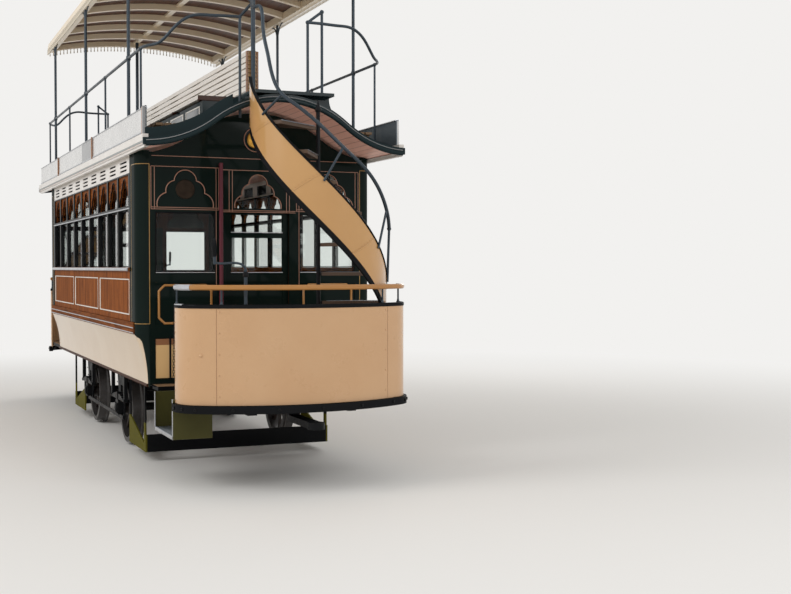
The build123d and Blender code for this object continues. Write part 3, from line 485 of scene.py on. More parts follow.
@dataclass(frozen=True)
class NewelAndTreads(Finish):
    """Dark scrubbed oak treads round a newel of black varnished iron, told apart by distance."""

    wood: WornOak
    iron: BlackedIron
    newel_x: float = 3.400
    newel_y: float = 0.259
    newel_r: float = 0.030

    def shade(self, tree: Tree) -> Socket:
        """Half-turns the far end onto the near one, then mixes iron and oak by the reach from the newel.

        Args:
            tree: The material's empty node tree.

        Returns:
            The shader socket.
        """
        place = put(tree, "SeparateXYZ", {0: put(tree, "TexCoord").outputs["Object"]})
        end = put(tree, "Math", {0: place}, operation="SIGN")
        x = put(tree, "Math", {0: place, 1: end}, operation="MULTIPLY")
        y = put(tree, "Math", {0: place.outputs[1], 1: end}, operation="MULTIPLY")
        flat = put(tree, "CombineXYZ", {0: x, 1: y})
        reach = put(tree, "VectorMath", {0: flat, 1: (self.newel_x, self.newel_y, 0.0)},
                    operation="DISTANCE")
        board = put(tree, "Math", {0: reach.outputs["Value"], 1: self.newel_r}, operation="GREATER_THAN")
        return put(tree, "MixShader", {0: board, 1: self.iron.shade(tree),
                                       2: self.wood.shade(tree)}).outputs[0]


@dataclass(frozen=True)
class TwoPaints(Finish):
    """Two finishes on one piece, parted by a box about the car's middle, as on a board's two faces."""

    zone: Finish
    rest: Finish
    low: tuple[float, float, float] = (-1.0, -1.0, -1.0)
    high: tuple[float, float, float] = (9.0, 9.0, 9.0)

    def shade(self, tree: Tree) -> Socket:
        """Mixes the two finishes by the distance from the car's middle, and the height.

        Args:
            tree: The material's empty node tree.

        Returns:
            The shader socket.
        """
        spot = put(tree, "VectorMath", {0: put(tree, "TexCoord").outputs["Object"]}, operation="ABSOLUTE")
        place = put(tree, "SeparateXYZ", {0: spot})
        inside: object = 1.0
        for axis in range(3):
            for word, limit in (("GREATER_THAN", self.low[axis]), ("LESS_THAN", self.high[axis])):
                test = put(tree, "Math", {0: place.outputs[axis], 1: limit}, operation=word)
                inside = put(tree, "Math", {0: test, 1: inside}, operation="MULTIPLY").outputs[0]
        return put(tree, "MixShader", {0: inside, 1: self.rest.shade(tree),
                                       2: self.zone.shade(tree)}).outputs[0]


@dataclass(frozen=True)
class PolishedMetal(Finish):
    """Hand-polished metal with fine scratches: brass goes warm and slightly tarnished, steel stays cool."""

    colour: str
    tarnish: str
    roughness: float = 0.2

    def shade(self, tree: Tree) -> Socket:
        """Tarnish in patches over fine polishing marks.

        Args:
            tree: The material's empty node tree.

        Returns:
            The shader socket.
        """
        place = put(tree, "TexCoord").outputs["Object"]
        patch = put(tree, "TexNoise", {"Vector": place, "Scale": 1 / (60 * MM), "Detail": 6.0,
                                       "Roughness": 0.6})
        tone = put(tree, "Mix", {0: patch, 6: linear(self.colour), 7: linear(self.tarnish)},
                   data_type="RGBA")
        rough = put(tree, "MapRange", {"Value": patch, "From Min": 0.3, "From Max": 0.8,
                                       "To Min": self.roughness, "To Max": self.roughness + 0.2})
        marks = put(tree, "TexNoise", {"Vector": place, "Scale": 1 / (3 * MM), "Detail": 2.0})
        bump = put(tree, "Bump", {"Height": marks, "Strength": 0.06, "Distance": 0.2 * MM})
        return put(tree, "BsdfPrincipled", {
            "Base Color": tone.outputs[2], "Metallic": 1.0, "Roughness": rough, "Normal": bump,
        }).outputs[0]


@dataclass(frozen=True)
class DrawnGlass(Finish):
    """Drawn sheet glass: clear and faintly green, with slow waves that bend what shows through it."""

    tint: str = "#EFF3F1"
    wave_mm: float = 140.0
    ior: float = 1.22

    def shade(self, tree: Tree) -> Socket:
        """Clear glass that lets lamp light through to the saloon.

        Real glass has an IOR of 1.5. It is lower here, so that the white surround doesn't veil the saloon.

        Args:
            tree: The material's empty node tree.

        Returns:
            The shader socket.
        """
        place = put(tree, "TexCoord").outputs["Object"]
        wave = put(tree, "TexNoise", {"Vector": place, "Scale": 1 / (self.wave_mm * MM), "Detail": 1.0})
        bump = put(tree, "Bump", {"Height": wave, "Strength": 0.05, "Distance": 2 * MM})
        glass = put(tree, "BsdfPrincipled", {
            "Base Color": linear(self.tint), "Roughness": 0.02, "IOR": self.ior, "Transmission Weight": 1.0,
            "Normal": bump,
        })
        clear = put(tree, "BsdfTransparent", {"Color": linear(self.tint)})
        ray = put(tree, "LightPath").outputs["Is Shadow Ray"]
        return put(tree, "MixShader", {0: ray, 1: glass, 2: clear}).outputs[0]


@dataclass(frozen=True)
class CottonBraid(Finish):
    """Twisted cotton braid: matt and fuzzy, with the slant of its strands."""

    colour: str
    shadow: str
    strand_mm: float = 6.0

    def shade(self, tree: Tree) -> Socket:
        """Slanted strands. Threads near 1 mm are drawn at 6 mm, so that they show.

        Args:
            tree: The material's empty node tree.

        Returns:
            The shader socket.
        """
        place = put(tree, "TexCoord").outputs["Object"]
        slant = put(tree, "Mapping", {"Vector": place, "Rotation": (0.6, 0.6, 0.0)})
        strand = put(tree, "TexWave", {"Vector": slant, "Scale": 0.314 / (self.strand_mm * MM),
                                       "Distortion": 1.5, "Detail": 2.0})
        tone = put(tree, "Mix", {0: strand.outputs[1], 6: linear(self.shadow), 7: linear(self.colour)},
                   data_type="RGBA")
        bump = put(tree, "Bump", {"Height": strand.outputs[1], "Strength": 0.4, "Distance": 1.5 * MM})
        return put(tree, "BsdfPrincipled", {
            "Base Color": tone.outputs[2], "Roughness": 0.85, "Sheen Weight": 0.4, "Normal": bump,
        }).outputs[0]


@dataclass(frozen=True)
class StudioFloor(Finish):
    """Pale matt studio floor that fades into the white surround."""

    colour: str = "#E9E7E3"
    near: float = 4.0
    far: float = 12.5

    def shade(self, tree: Tree) -> Socket:
        """A plain floor close in, with the surround's white further out.

        Args:
            tree: The material's empty node tree.

        Returns:
            The shader socket.
        """
        place = put(tree, "TexCoord").outputs["Object"]
        reach = put(tree, "VectorMath", {0: place}, operation="LENGTH")
        fade = put(tree, "MapRange", {"Value": reach.outputs["Value"], "From Min": self.near,
                                      "From Max": self.far}, interpolation_type="SMOOTHSTEP")
        mix = put(tree, "Math", {0: fade, 1: sees_white(tree)}, operation="MULTIPLY")
        matt = put(tree, "BsdfDiffuse", {"Color": linear(self.colour)})
        white = put(tree, "Emission", {"Color": linear(SURROUND_WHITE), "Strength": 1.0})
        return put(tree, "MixShader", {0: mix, 1: matt, 2: white}).outputs[0]


class Palette:
    """The car's finishes by the name of the real material."""

    green = CoachEnamel("bottle_green_coach_enamel", "#101B18", "#16211E", worn="#3A382E", roughness=0.22,
                        chips=0.12, gloss=0.0, coat=0.14)
    window_black = CoachEnamel("black_window_enamel", "#0E0F10", "#161718", worn="#4A4844", chips=0.1,
                               gloss=0.0, coat=0.34)
    fascia = CoachEnamel("blue_green_coach_enamel", "#152225", "#1F2E31", worn="#7C8384", roughness=0.26,
                         gloss=0.0, coat=0.25)
    cream = CoachEnamel("cream_coach_enamel", "#D3AD85", "#C79B70", worn="#7A5A3C", roughness=0.26,
                        dust=0.5)
    rocker = CoachEnamel("pale_cream_coach_enamel", "#DCC8AE", "#CFB698", worn="#7A5A3C", roughness=0.28)
    # Honey cream, lightened as painted light to make up for the shade in the end walls' recesses.
    field = CoachEnamel("honey_cream_coach_enamel", "#EEC890", "#E2B87E", worn="#7A5A3C", roughness=0.28)
    # Tan: the dash seams, and the painted shadow under the moulding at the head of each cream field.
    seam_and_shade_tan = CoachEnamel("tan_seam_enamel_and_painted_shade", "#A27250", "#8F6244", worn="#5A3C28", roughness=0.28)
    ochre = CoachEnamel("buff_coach_enamel", "#C99D66", "#BD8D54", worn="#5E3F22", roughness=0.22, coat=0.6)
    handrail = CoachEnamel("ochre_rail_enamel", "#BC8648", "#A36F36", worn="#D9B27A", roughness=0.2)
    pale = CoachEnamel("stone_white_oil_paint", "#E6E1DB", "#CFC8C0", worn="#8A7460", roughness=0.3,
                       dust=0.5)
    silvered = CoachEnamel("silver_grey_oil_paint", "#D6D5D3", "#AFAEAD", worn="#7C7670", roughness=0.2,
                           dust=0.8, gloss=0.5, coat=0.5)
    # Slate grey: the decency boards' grey panels, and the painted highlight along the hoods' rolled edges.
    grey = CoachEnamel("slate_grey_paint_and_roll_highlight", "#8F9091", "#7E7F80", worn="#5C5A58", roughness=0.3)
    seat = CoachEnamel("white_oil_paint", "#ECE7DF", "#DCD3C6", worn="#9A7A58", roughness=0.34)
    tan = CoachEnamel("tan_oil_paint", "#C29A6E", "#AC8458", worn="#6A4A30", roughness=0.36)
    post_brown = CoachEnamel("ochre_brown_enamel", "#95602F", "#7C4C26", worn="#C79A5A", roughness=0.24)
    brown = CoachEnamel("umber_brown_enamel", "#4A2C1E", "#3A2117", worn="#8A6A4A", roughness=0.2,
                        gloss=0.0, coat=0.2)
    black = CoachEnamel("ivory_black_enamel", "#101113", "#18191B", worn="#4A4844", roughness=0.22,
                        chips=0.15, gloss=0.0, coat=0.15)
    red = CoachEnamel("maroon_enamel", "#6A2C38", "#55222C", worn="#8A6A60", roughness=0.2, gloss=0.1,
                      coat=0.25)
    olive = CoachEnamel("olive_plate_enamel", "#5C5934", "#403E22", worn="#9A978C", roughness=0.34,
                        chips=0.5, gloss=0.0, coat=0.12)
    # Cream of the canopy's frame and valance, lightened as painted light to make up for the shade under the
    # canopy.
    canopy_paint = CoachEnamel("cream_canopy_enamel", "#F0E2CA", "#E2CCAA", worn="#8A6A48", roughness=0.34)
    olive_yellow = CoachEnamel("olive_yellow_enamel", "#6A6520", "#4E4A18", worn="#8C8860", chips=0.4,
                               gloss=0.0, coat=0.12)
    # Olive on the side plates. The cross boards between them are black, matched to the dark under the car.
    guard = TwoPaints("guard_enamels", olive_yellow, black, low=(-1.0, 0.8195, -1.0),
                      high=(9.0, 9.0, 0.335))
    dark_pane = CoachEnamel("smoked_pane", "#121E24", "#1A2A30", roughness=0.06, gloss=0.4, coat=0.3)
    rose_line = CoachEnamel("rose_coach_line", "#B3856E", "#9C715E", roughness=0.3, chips=0.0)
    gilt_line = CoachEnamel("gilt_coach_line", "#B48C4A", "#9A7438", roughness=0.26, chips=0.0)
    mahogany = VarnishedMahogany("polished_mahogany_upright", "#A05C2A", "#542A10", coat=0.06)
    mahogany_along = VarnishedMahogany("polished_mahogany_along", "#8E5226", "#4A2510", grain=Grain.ALONG,
                                       coat=0.06)
    dark_wood = VarnishedMahogany("dark_varnished_teak", "#4A2A1A", "#24120B", coat=0.1)
    # Rose cream boards under the hoods, lightened as painted light to make up for the shade there. The grey
    # top is the canvas.
    hood = PaintedBoards("rose_cream_hood_boards", "#FFC9B6", "#C08A78", board_mm=64.0, top="#8E9290")
    canopy = PaintedBoards("brown_canopy_boards", "#59301F", "#2C160C", board_mm=96.0, top="#D9D2C4")
    oak = WornOak("scrubbed_oak_boards", "#8C6E4E", "#4E3826")
    treads = NewelAndTreads("iron_newel_and_oak_treads",
                            WornOak("tread_oak", "#5C4430", "#302218", run=Grain.ACROSS),
                            BlackedIron("newel_iron"))
    bench = VarnishedMahogany("varnished_pitch_pine", "#9A6230", "#5A3014", grain=Grain.ALONG)
    iron = BlackedIron("black_varnished_iron", "#131416")
    rail_steel = BlackedIron("blued_rail_steel", "#3E464D", rust="#3A3632", rub="#A5A7AA", roughness=0.28,
                             metal=0.5)
    wheels_front = TyredWheel("tyred_wheel_front", axle_x=0.9)
    wheels_rear = TyredWheel("tyred_wheel_rear", axle_x=-0.9)
    brass = PolishedMetal("polished_brass", "#C8963F", "#8A6A34", roughness=0.26)
    bronze = PolishedMetal("dulled_bronze", "#3A3028", "#241E1A", roughness=0.42)
    steel = PolishedMetal("burnished_steel", "#A9B0B8", "#747C86", roughness=0.3)
    silver = PolishedMetal("silvered_moulding", "#D4D6DA", "#A4A7AC", roughness=0.28)
    platform = TwoPaints("platform_boards", black, oak, high=(9.0, 9.0, 0.7262))
    bulkhead = TwoPaints("bulkhead_faces", dark_wood, green, high=(2.5995, 9.0, 2.56))
    slate = CoachEnamel("slate_oil_paint", "#56626A", "#3E484F", worn="#8A8478", roughness=0.4)
    decency = TwoPaints("decency_faces", slate, silvered, high=(9.0, 1.050, 9.0))
    glass = DrawnGlass("drawn_sheet_glass")
    braid = CottonBraid("ivory_cotton_braid", "#EDE6D8", "#B8AC98")


class Shape:
    """Collects the vertices and faces of one piece, in metres in the car's frame."""

    def __init__(self) -> None:
        """Starts empty."""
        self.points: list[Vector] = []
        self.faces: list[tuple[int, ...]] = []

    def ring(self, places: Iterable[Point]) -> list[int]:
        """Adds vertices.

        Args:
            places: Their positions.

        Returns:
            Their numbers.
        """
        first = len(self.points)
        self.points.extend(Vector(place) for place in places)
        return list(range(first, len(self.points)))

    def skin(self, rings: Sequence[Sequence[int]], loop: bool = False) -> None:
        """Joins rings of vertices with four-sided faces.

        Args:
            rings: Vertex numbers, the same count in each ring.
            loop: Whether the last ring joins the first.
        """
        spans = len(rings) if loop else len(rings) - 1
        count = len(rings[0])
        for span in range(spans):
            here, there = rings[span], rings[(span + 1) % len(rings)]
            for number in range(count):
                after = (number + 1) % count
                self.faces.append((here[number], here[after], there[after], there[number]))

    def sweep(self, path: Sequence[Point], section: Section, up: Optional[Point] = None,
              loop: bool = False) -> None:
        """Carries a closed section along a path, with mitred corners.

        Args:
            path: The points of the path.
            section: Points as (to the right of the path, up).
            up: The direction that stays up. Without it the section turns as little as it can.
            loop: Whether the path closes.
        """
        spots = [Vector(place) for place in path]
        spans = len(spots) if loop else len(spots) - 1
        aims = [(spots[(i + 1) % len(spots)] - spots[i]).normalized() for i in range(spans)]
        rise = Vector(up) if up is not None else aims[0].orthogonal()
        rings = []
        for number, spot in enumerate(spots):
            before = aims[number - 1] if (number or loop) else aims[0]
            after = aims[number] if number < spans else aims[-1]
            if up is None and number > 1:
                rise = aims[number - 2].rotation_difference(before) @ rise
            normal = (before + after).normalized()
            side = before.cross(rise).normalized()
            top = side.cross(before)
            places = []
            for across, lift in section:
                offset = side * across + top * lift
                places.append(spot + offset - before * (offset.dot(normal) / before.dot(normal)))
            rings.append(self.ring(places))
        self.skin(rings, loop=loop)
        if not loop:
            self.faces.append(tuple(rings[0]))
            self.faces.append(tuple(reversed(rings[-1])))

    def box(self, low: Point, high: Point, soften: float = 0.0) -> None:
        """Adds a block, with its long edges taken off.

        Args:
            low: Its lowest corner.
            high: Its highest corner.
            soften: How much is taken off its long edges.
        """
        low, high = Vector(low), Vector(high)
        size = high - low
        axis = max(range(3), key=lambda i: size[i])
        middle = (low + high) / 2
        start, stop = middle.copy(), middle.copy()
        start[axis], stop[axis] = low[axis], high[axis]
        up = Vector(UP) if axis != 2 else Vector(OUTWARD)
        rise = size[2] if axis != 2 else size[1]
        wide = size[1] if axis == 0 else size[0]
        self.sweep([start, stop], chamfered(wide, rise, soften), up=up)

    def run(self, end: float, y: float, z: float, section: Section) -> None:
        """Adds a straight moulding along a side, as far from the car's middle both ways."""
        self.sweep([(-end, y, z), (end, y, z)], section, up=OUTWARD)

    def rod(self, path: Sequence[Point], radius: float, sides: int = 10) -> None:
        """Adds a round bar along a path.

        Args:
            path: Its points.
            radius: Its radius.
            sides: How many flats stand for the round.
        """
        self.sweep(path, circle(radius, sides))

    def turn(self, centre: Point, axis: Point, profile: Section, sides: int = 16) -> None:
        """Turns a profile about an axis.

        Args:
            centre: Where the axis starts.
            axis: Its direction.
            profile: Points as (radius, distance along the axis).
            sides: How many flats stand for the round.
        """
        aim = Vector(axis).normalized()
        side = aim.orthogonal().normalized()
        other = aim.cross(side)
        rings = []
        for radius, along in profile:
            places = []
            for number in range(sides):
                angle = 2 * math.pi * number / sides
                out = side * math.cos(angle) + other * math.sin(angle)
                places.append(Vector(centre) + aim * along + out * max(radius, 1e-5))
            rings.append(self.ring(places))
        self.skin(rings)
        self.faces.append(tuple(reversed(rings[0])))
        self.faces.append(tuple(rings[-1]))

    def rivet(self, centre: Point, axis: Point, radius: float) -> None:
        """Adds a snap-headed rivet.

        Args:
            centre: The middle of its foot.
            axis: The way its head points.
            radius: The head's radius.
        """
        profile = [(radius, 0.0), (0.92 * radius, 0.35 * radius), (0.6 * radius, 0.62 * radius),
                   (0.0, 0.74 * radius)]
        self.turn(centre, axis, profile, sides=8)

    def plate(self, outline: Sequence[Point], thick: Point) -> None:
        """Adds a flat plate.

        Args:
            outline: Its edge, in order.
            thick: The step from one face to the other.
        """
        low = self.ring(outline)
        high = self.ring(Vector(place) + Vector(thick) for place in outline)
        self.skin([low, high])
        self.faces.append(tuple(reversed(low)))
        self.faces.append(tuple(high))

    def repeat(self, symmetry: Symmetry) -> None:
        """Copies what is here to the car's other sides or end.

        Args:
            symmetry: Where the copies go.
        """
        if symmetry in (Symmetry.SIDES, Symmetry.ALL_FOUR):
            shift = len(self.points)
            self.points.extend([Vector((p.x, -p.y, p.z)) for p in self.points])
            self.faces.extend([tuple(i + shift for i in reversed(face)) for face in self.faces])
        if symmetry in (Symmetry.HALF_TURN, Symmetry.ALL_FOUR):
            shift = len(self.points)
            self.points.extend([Vector((-p.x, -p.y, p.z)) for p in self.points])
            self.faces.extend([tuple(i + shift for i in face) for face in self.faces])

    def piece(self, name: str, finish: Finish, slot: Slot, body: Body = Body.CAR,
              symmetry: Symmetry = Symmetry.HALF_TURN) -> bpy.types.Object:
        """Makes the object and puts it on its CAD body.

        Args:
            name: The piece's name.
            finish: Its finish.
            slot: The record's slot that it stands for; not used.
            body: The CAD body it rides on.
            symmetry: Where its copies go.

        Returns:
            The object.
        """
        self.repeat(symmetry)
        mesh = bpy.data.meshes.new(name)
        mesh.from_pydata([tuple(p) for p in self.points], [], self.faces)
        work = bmesh.new()
        work.from_mesh(mesh)
        bmesh.ops.recalc_face_normals(work, faces=work.faces)
        work.to_mesh(mesh)
        work.free()
        mesh.polygons.foreach_set("use_smooth", [True] * len(mesh.polygons))
        mesh.set_sharp_from_angle(angle=math.radians(CREASE_DEGREES))
        made = bpy.data.objects.new(name, mesh)
        bpy.context.scene.collection.objects.link(made)
        finish.dress(made)
        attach(made, body.value)
        LOG.info("piece %s: %d faces, %s", name, len(mesh.polygons), finish.name)
        return made


def circle(radius: float, sides: int = 10) -> list[tuple[float, float]]:
    """A round section.

    Args:
        radius: Its radius.
        sides: How many flats stand for it.

    Returns:
        Its points.
    """
    turns = [2 * math.pi * number / sides for number in range(sides)]
    return [(radius * math.cos(turn), radius * math.sin(turn)) for turn in turns]


def chamfered(wide: float, tall: float, cut: float) -> list[tuple[float, float]]:
    """An oblong section with its corners taken off.

    Args:
        wide: Its width.
        tall: Its height.
        cut: How much of each corner goes.

    Returns:
        Its points.
    """
    x, y = wide / 2, tall / 2
    c = min(cut, 0.45 * wide, 0.45 * tall)
    if c <= 0:
        return [(x, -y), (x, y), (-x, y), (-x, -y)]
    return [(x, -y + c), (x, y - c), (x - c, y), (-x + c, y), (-x, y - c), (-x, -y + c), (-x + c, -y),
            (x - c, -y)]


def half_round(wide: float, tall: float) -> list[tuple[float, float]]:
    """A half-round moulding that stands up from its path.

    Args:
        wide: Its width.
        tall: Its height.

    Returns:
        Its points.
    """
    turns = [math.pi * number / 6 for number in range(7)]
    return [(wide / 2 * math.cos(turn), tall * math.sin(turn)) for turn in turns]


def arc(centre: tuple[float, float], radius: float, start: float, stop: float,
        steps: int = 8) -> list[tuple[float, float]]:
    """Points round part of a circle.

    Args:
        centre: Its centre.
        radius: Its radius.
        start: The first angle in degrees.
        stop: The last angle in degrees.
        steps: How many spans.

    Returns:
        The points, both ends in.
    """
    made = []
    for number in range(steps + 1):
        turn = math.radians(start + (stop - start) * number / steps)
        made.append((centre[0] + radius * math.cos(turn), centre[1] + radius * math.sin(turn)))
    return made


def oblong(low: tuple[float, float], high: tuple[float, float]) -> list[tuple[float, float]]:
    """The outline of an oblong, from its lowest corner round to its highest and back."""
    return [low, (high[0], low[1]), high, (low[0], high[1])]


@dataclass(frozen=True)
class Car:
    """The car's main sizes, as in the CAD source, and the curves worked out from them."""

    bay: float = 0.511
    bays: int = 9
    half: float = 1.021
    end: float = 2.620
    corner: float = 0.105
    frame_end: float = 2.3335
    rocker_half: float = 0.930
    rocker_z: float = 0.703
    mould_z: float = 1.132
    waist_z: float = 1.230
    sill_z: float = 1.646
    transom_z: float = 2.162
    letter_z: float = 2.463
    eave_z: float = 2.599
    eave_half: float = 1.085
    eave_deep: float = 0.100
    crown_rise: float = 0.373
    hood_end: float = 3.225
    hood_bow: float = 0.090
    platform_z: float = 0.727
    platform_half: float = 0.910
    platform_end: float = 3.980
    platform_bow_r: float = 1.500
    platform_corner_r: float = 0.260
    floor_z: float = 0.802
    dash_side_x: float = 3.490
    dash_top_z: float = 1.379
    dash_rail_z: float = 1.532
    step_z: float = 0.392
    stair_x: float = 3.400
    stair_y: float = 0.259
    stair_r: float = 0.526
    stair_start: float = 134.0
    stair_stop: float = -101.0
    panel_tall: float = 0.400
    landing_z: float = 3.067
    seat_z: float = 3.117
    seat_half: float = 0.470
    seat_end: float = 2.450
    back_top_z: float = 3.522
    deck_rail_z: float = 3.424
    deck_rail_half: float = 1.005
    canopy_half: float = 1.030
    canopy_edge_z: float = 4.322
    canopy_rise: float = 0.125
    canopy_end: float = 2.660
    canopy_post_x: float = 2.240
    window_y: float = 0.6187

    def ogee(self, y: float, lift: float = 0.0) -> float:
        """The roof's height over a place across the car.

        Args:
            y: The place across the car.
            lift: How far over the roof's base curve.

        Returns:
            The height.
        """
        radius = ((self.eave_half / 2) ** 2 + (self.crown_rise / 2) ** 2) / self.crown_rise
        out = min(abs(y), self.eave_half)
        if out > self.eave_half / 2:
            return self.eave_z + lift + radius - math.sqrt(radius ** 2 - (self.eave_half - out) ** 2)
        return self.eave_z + lift + self.crown_rise - radius + math.sqrt(radius ** 2 - out ** 2)

    def hood_front(self, y: float) -> float:
        """How far along the car the bowed front of a hood stands.

        Args:
            y: The place across the car.

        Returns:
            The place along the car.
        """
        radius = (self.eave_half ** 2 + self.hood_bow ** 2) / (2 * self.hood_bow)
        return self.hood_end + self.hood_bow - radius + math.sqrt(radius ** 2 - y ** 2)

    def bay_middle(self, number: int) -> float:
        """The place along the car of a window bay's middle."""
        return (number - (self.bays - 1) / 2) * self.bay

    def canopy_line(self, y: float) -> float:
        """The height of the canopy's arched end over a place across the car."""
        radius = (self.canopy_half ** 2 + self.canopy_rise ** 2) / (2 * self.canopy_rise)
        return self.canopy_edge_z + self.canopy_rise - radius + math.sqrt(radius ** 2 - y ** 2)

    def platform_edge(self, inset: float, steps: int = 10) -> list[tuple[float, float]]:
        """The platform's edge in plan, from its -Y side round the bow to its +Y side.

        Args:
            inset: How far inside the dash's outer face.
            steps: Spans on each corner and on half the bow.

        Returns:
            Points as (x, y).
        """
        radius = self.platform_bow_r - inset
        half = self.platform_half - inset
        small = self.platform_corner_r - inset
        centre = self.platform_end - self.platform_bow_r
        corner_x = centre + math.sqrt((radius - small) ** 2 - (half - small) ** 2)
        bend = math.degrees(math.atan2(half - small, corner_x - centre))
        made = [(self.dash_side_x, -half)]
        made.extend(arc((corner_x, -(half - small)), small, -90, -bend, steps))
        made.extend(arc((centre, 0), radius, -bend, bend, 2 * steps)[1:])
        made.extend(arc((corner_x, half - small), small, bend, 90, steps)[1:])
        made.append((self.dash_side_x, half))
        return made

    def on_stair(self, angle: float, radius: float, z: float) -> Vector:
        """A point on the stair's plan circle.

        Args:
            angle: The plan angle in degrees.
            radius: The distance from the newel.
            z: The height.

        Returns:
            The point.
        """
        turn = math.radians(angle)
        return Vector((self.stair_x + radius * math.cos(turn), self.stair_y + radius * math.sin(turn), z))

    def panel_top(self, angle: float) -> float:
        """The height of the stair panel's top edge.

        Args:
            angle: The plan angle in degrees.

        Returns:
            The height.
        """
        foot = self.platform_z + 0.240
        rise = (self.landing_z + 0.102 - foot) / (self.stair_start - self.stair_stop)
        return foot + rise * (self.stair_start - angle)

    def cloud(self, width: float, low: float, high: float, steps: int = 7) -> list[tuple[float, float]]:
        """The outline of a stepped arch of five lobes, centred on 0.

        Args:
            width: Its width at the foot.
            low: The height of its foot.
            high: The height of its crown.
            steps: Spans on each lobe.

        Returns:
            Points as (across, z), from the right foot over to the left foot.
        """
        half, tall = width / 2, high - low
        knots = [(half, low), (0.69 * half, low + 0.38 * tall), (0.40 * half, low + 0.71 * tall)]
        right = [knots[0]]
        for (x0, z0), (x1, z1) in zip(knots, knots[1:]):
            middle = (x1 + 0.72 * (x0 - x1), z0 + 0.72 * (z1 - z0))
            right.extend(through((x0, z0), middle, (x1, z1), steps)[1:])
        x, z = knots[-1]
        crown = through((x, z), (0.0, high), (-x, z), 2 * steps)[1:]
        return right + crown + [(-a, b) for a, b in reversed(right[:-1])]


def through(start: tuple[float, float], middle: tuple[float, float], stop: tuple[float, float],
            steps: int) -> list[tuple[float, float]]:
    """An arc through three points.

    Args:
        start: Its first point.
        middle: A point that it passes.
        stop: Its last point.
        steps: How many spans.

    Returns:
        Its points, both ends in.
    """
    ax, ay = start
    bx, by = middle
    cx, cy = stop
    d = 2 * (ax * (by - cy) + bx * (cy - ay) + cx * (ay - by))
    a, b, c = ax * ax + ay * ay, bx * bx + by * by, cx * cx + cy * cy
    ux = (a * (by - cy) + b * (cy - ay) + c * (ay - by)) / d
    uy = (a * (cx - bx) + b * (ax - cx) + c * (bx - ax)) / d
    radius = math.hypot(ax - ux, ay - uy)
    first = math.degrees(math.atan2(ay - uy, ax - ux))
    pass_by = math.degrees(math.atan2(by - uy, bx - ux))
    last = math.degrees(math.atan2(cy - uy, cx - ux))
    turn = (last - first) % 360
    if (pass_by - first) % 360 > turn:
        turn -= 360
    return arc((ux, uy), radius, first, first + turn, steps)


@dataclass(frozen=True)
class CadDress:
    """Which finish each carried-over CAD node wears."""

    nodes: dict

    def finishes(self) -> dict[str, Finish]:
        """The finish of each CAD node.

        Returns:
            Finishes by node name.
        """
        look = Palette
        groups = (
            (look.mahogany_along, "arch_boards_left arch_boards_right waist_rails_left waist_rails_right"),
            (look.iron, "axle_boxes axle_front axle_rear axle_guards drawbars springs underframe"),
            (look.rail_steel, "brake_columns canopy_posts dash_rail_posts deck_end_rails deck_side_rails "
                              "stair_rails"),
            (look.bulkhead, "bulkheads"),
            (look.black, "bumpers dash_rims"),
            (look.canopy_paint, "canopy_frame canopy_valance"),
            (look.canopy, "canopy_roof"),
            (look.fascia, "clerestory hood_fascias stair_landings"),
            (look.green, "corner_pillars door_front door_rear"),
            (look.handrail, "dash_handrails"),
            (look.cream, "dashes"),
            (look.decency, "decency_boards"),
            (look.oak, "deck_slats saloon_floor"),
            (look.glass, "door_glass_front door_glass_rear window_glass"),
            (look.pale, "eave_cornices vent_board_left vent_board_right"),
            (look.red, "grab_poles"),
            (look.platform, "platforms"),
            (look.rocker, "rocker_left rocker_right"),
            (look.hood, "roof"),
            (look.bench, "saloon_benches"),
            (look.brown, "seat_frames"),
            (look.seat, "seat_slats"),
            (look.ochre, "stair_panels"),
            (look.treads, "stairs"),
            (look.olive, "step_wells"),
            (look.mahogany, "waist_panels_left waist_panels_right"),
            (look.guard, "wheel_guards"),
            (look.wheels_front, "wheels_front"),
            (look.wheels_rear, "wheels_rear"),
            (look.window_black, "window_frame_left window_frame_right"),
        )
        return {name: finish for finish, names in groups for name in names.split()}

    def build(self) -> None:
        """Dresses every CAD node."""
        finishes = self.finishes()
        for name, thing in self.nodes.items():
            finishes[name].dress(thing)
            LOG.info("node %s: %s", name, finishes[name].name)


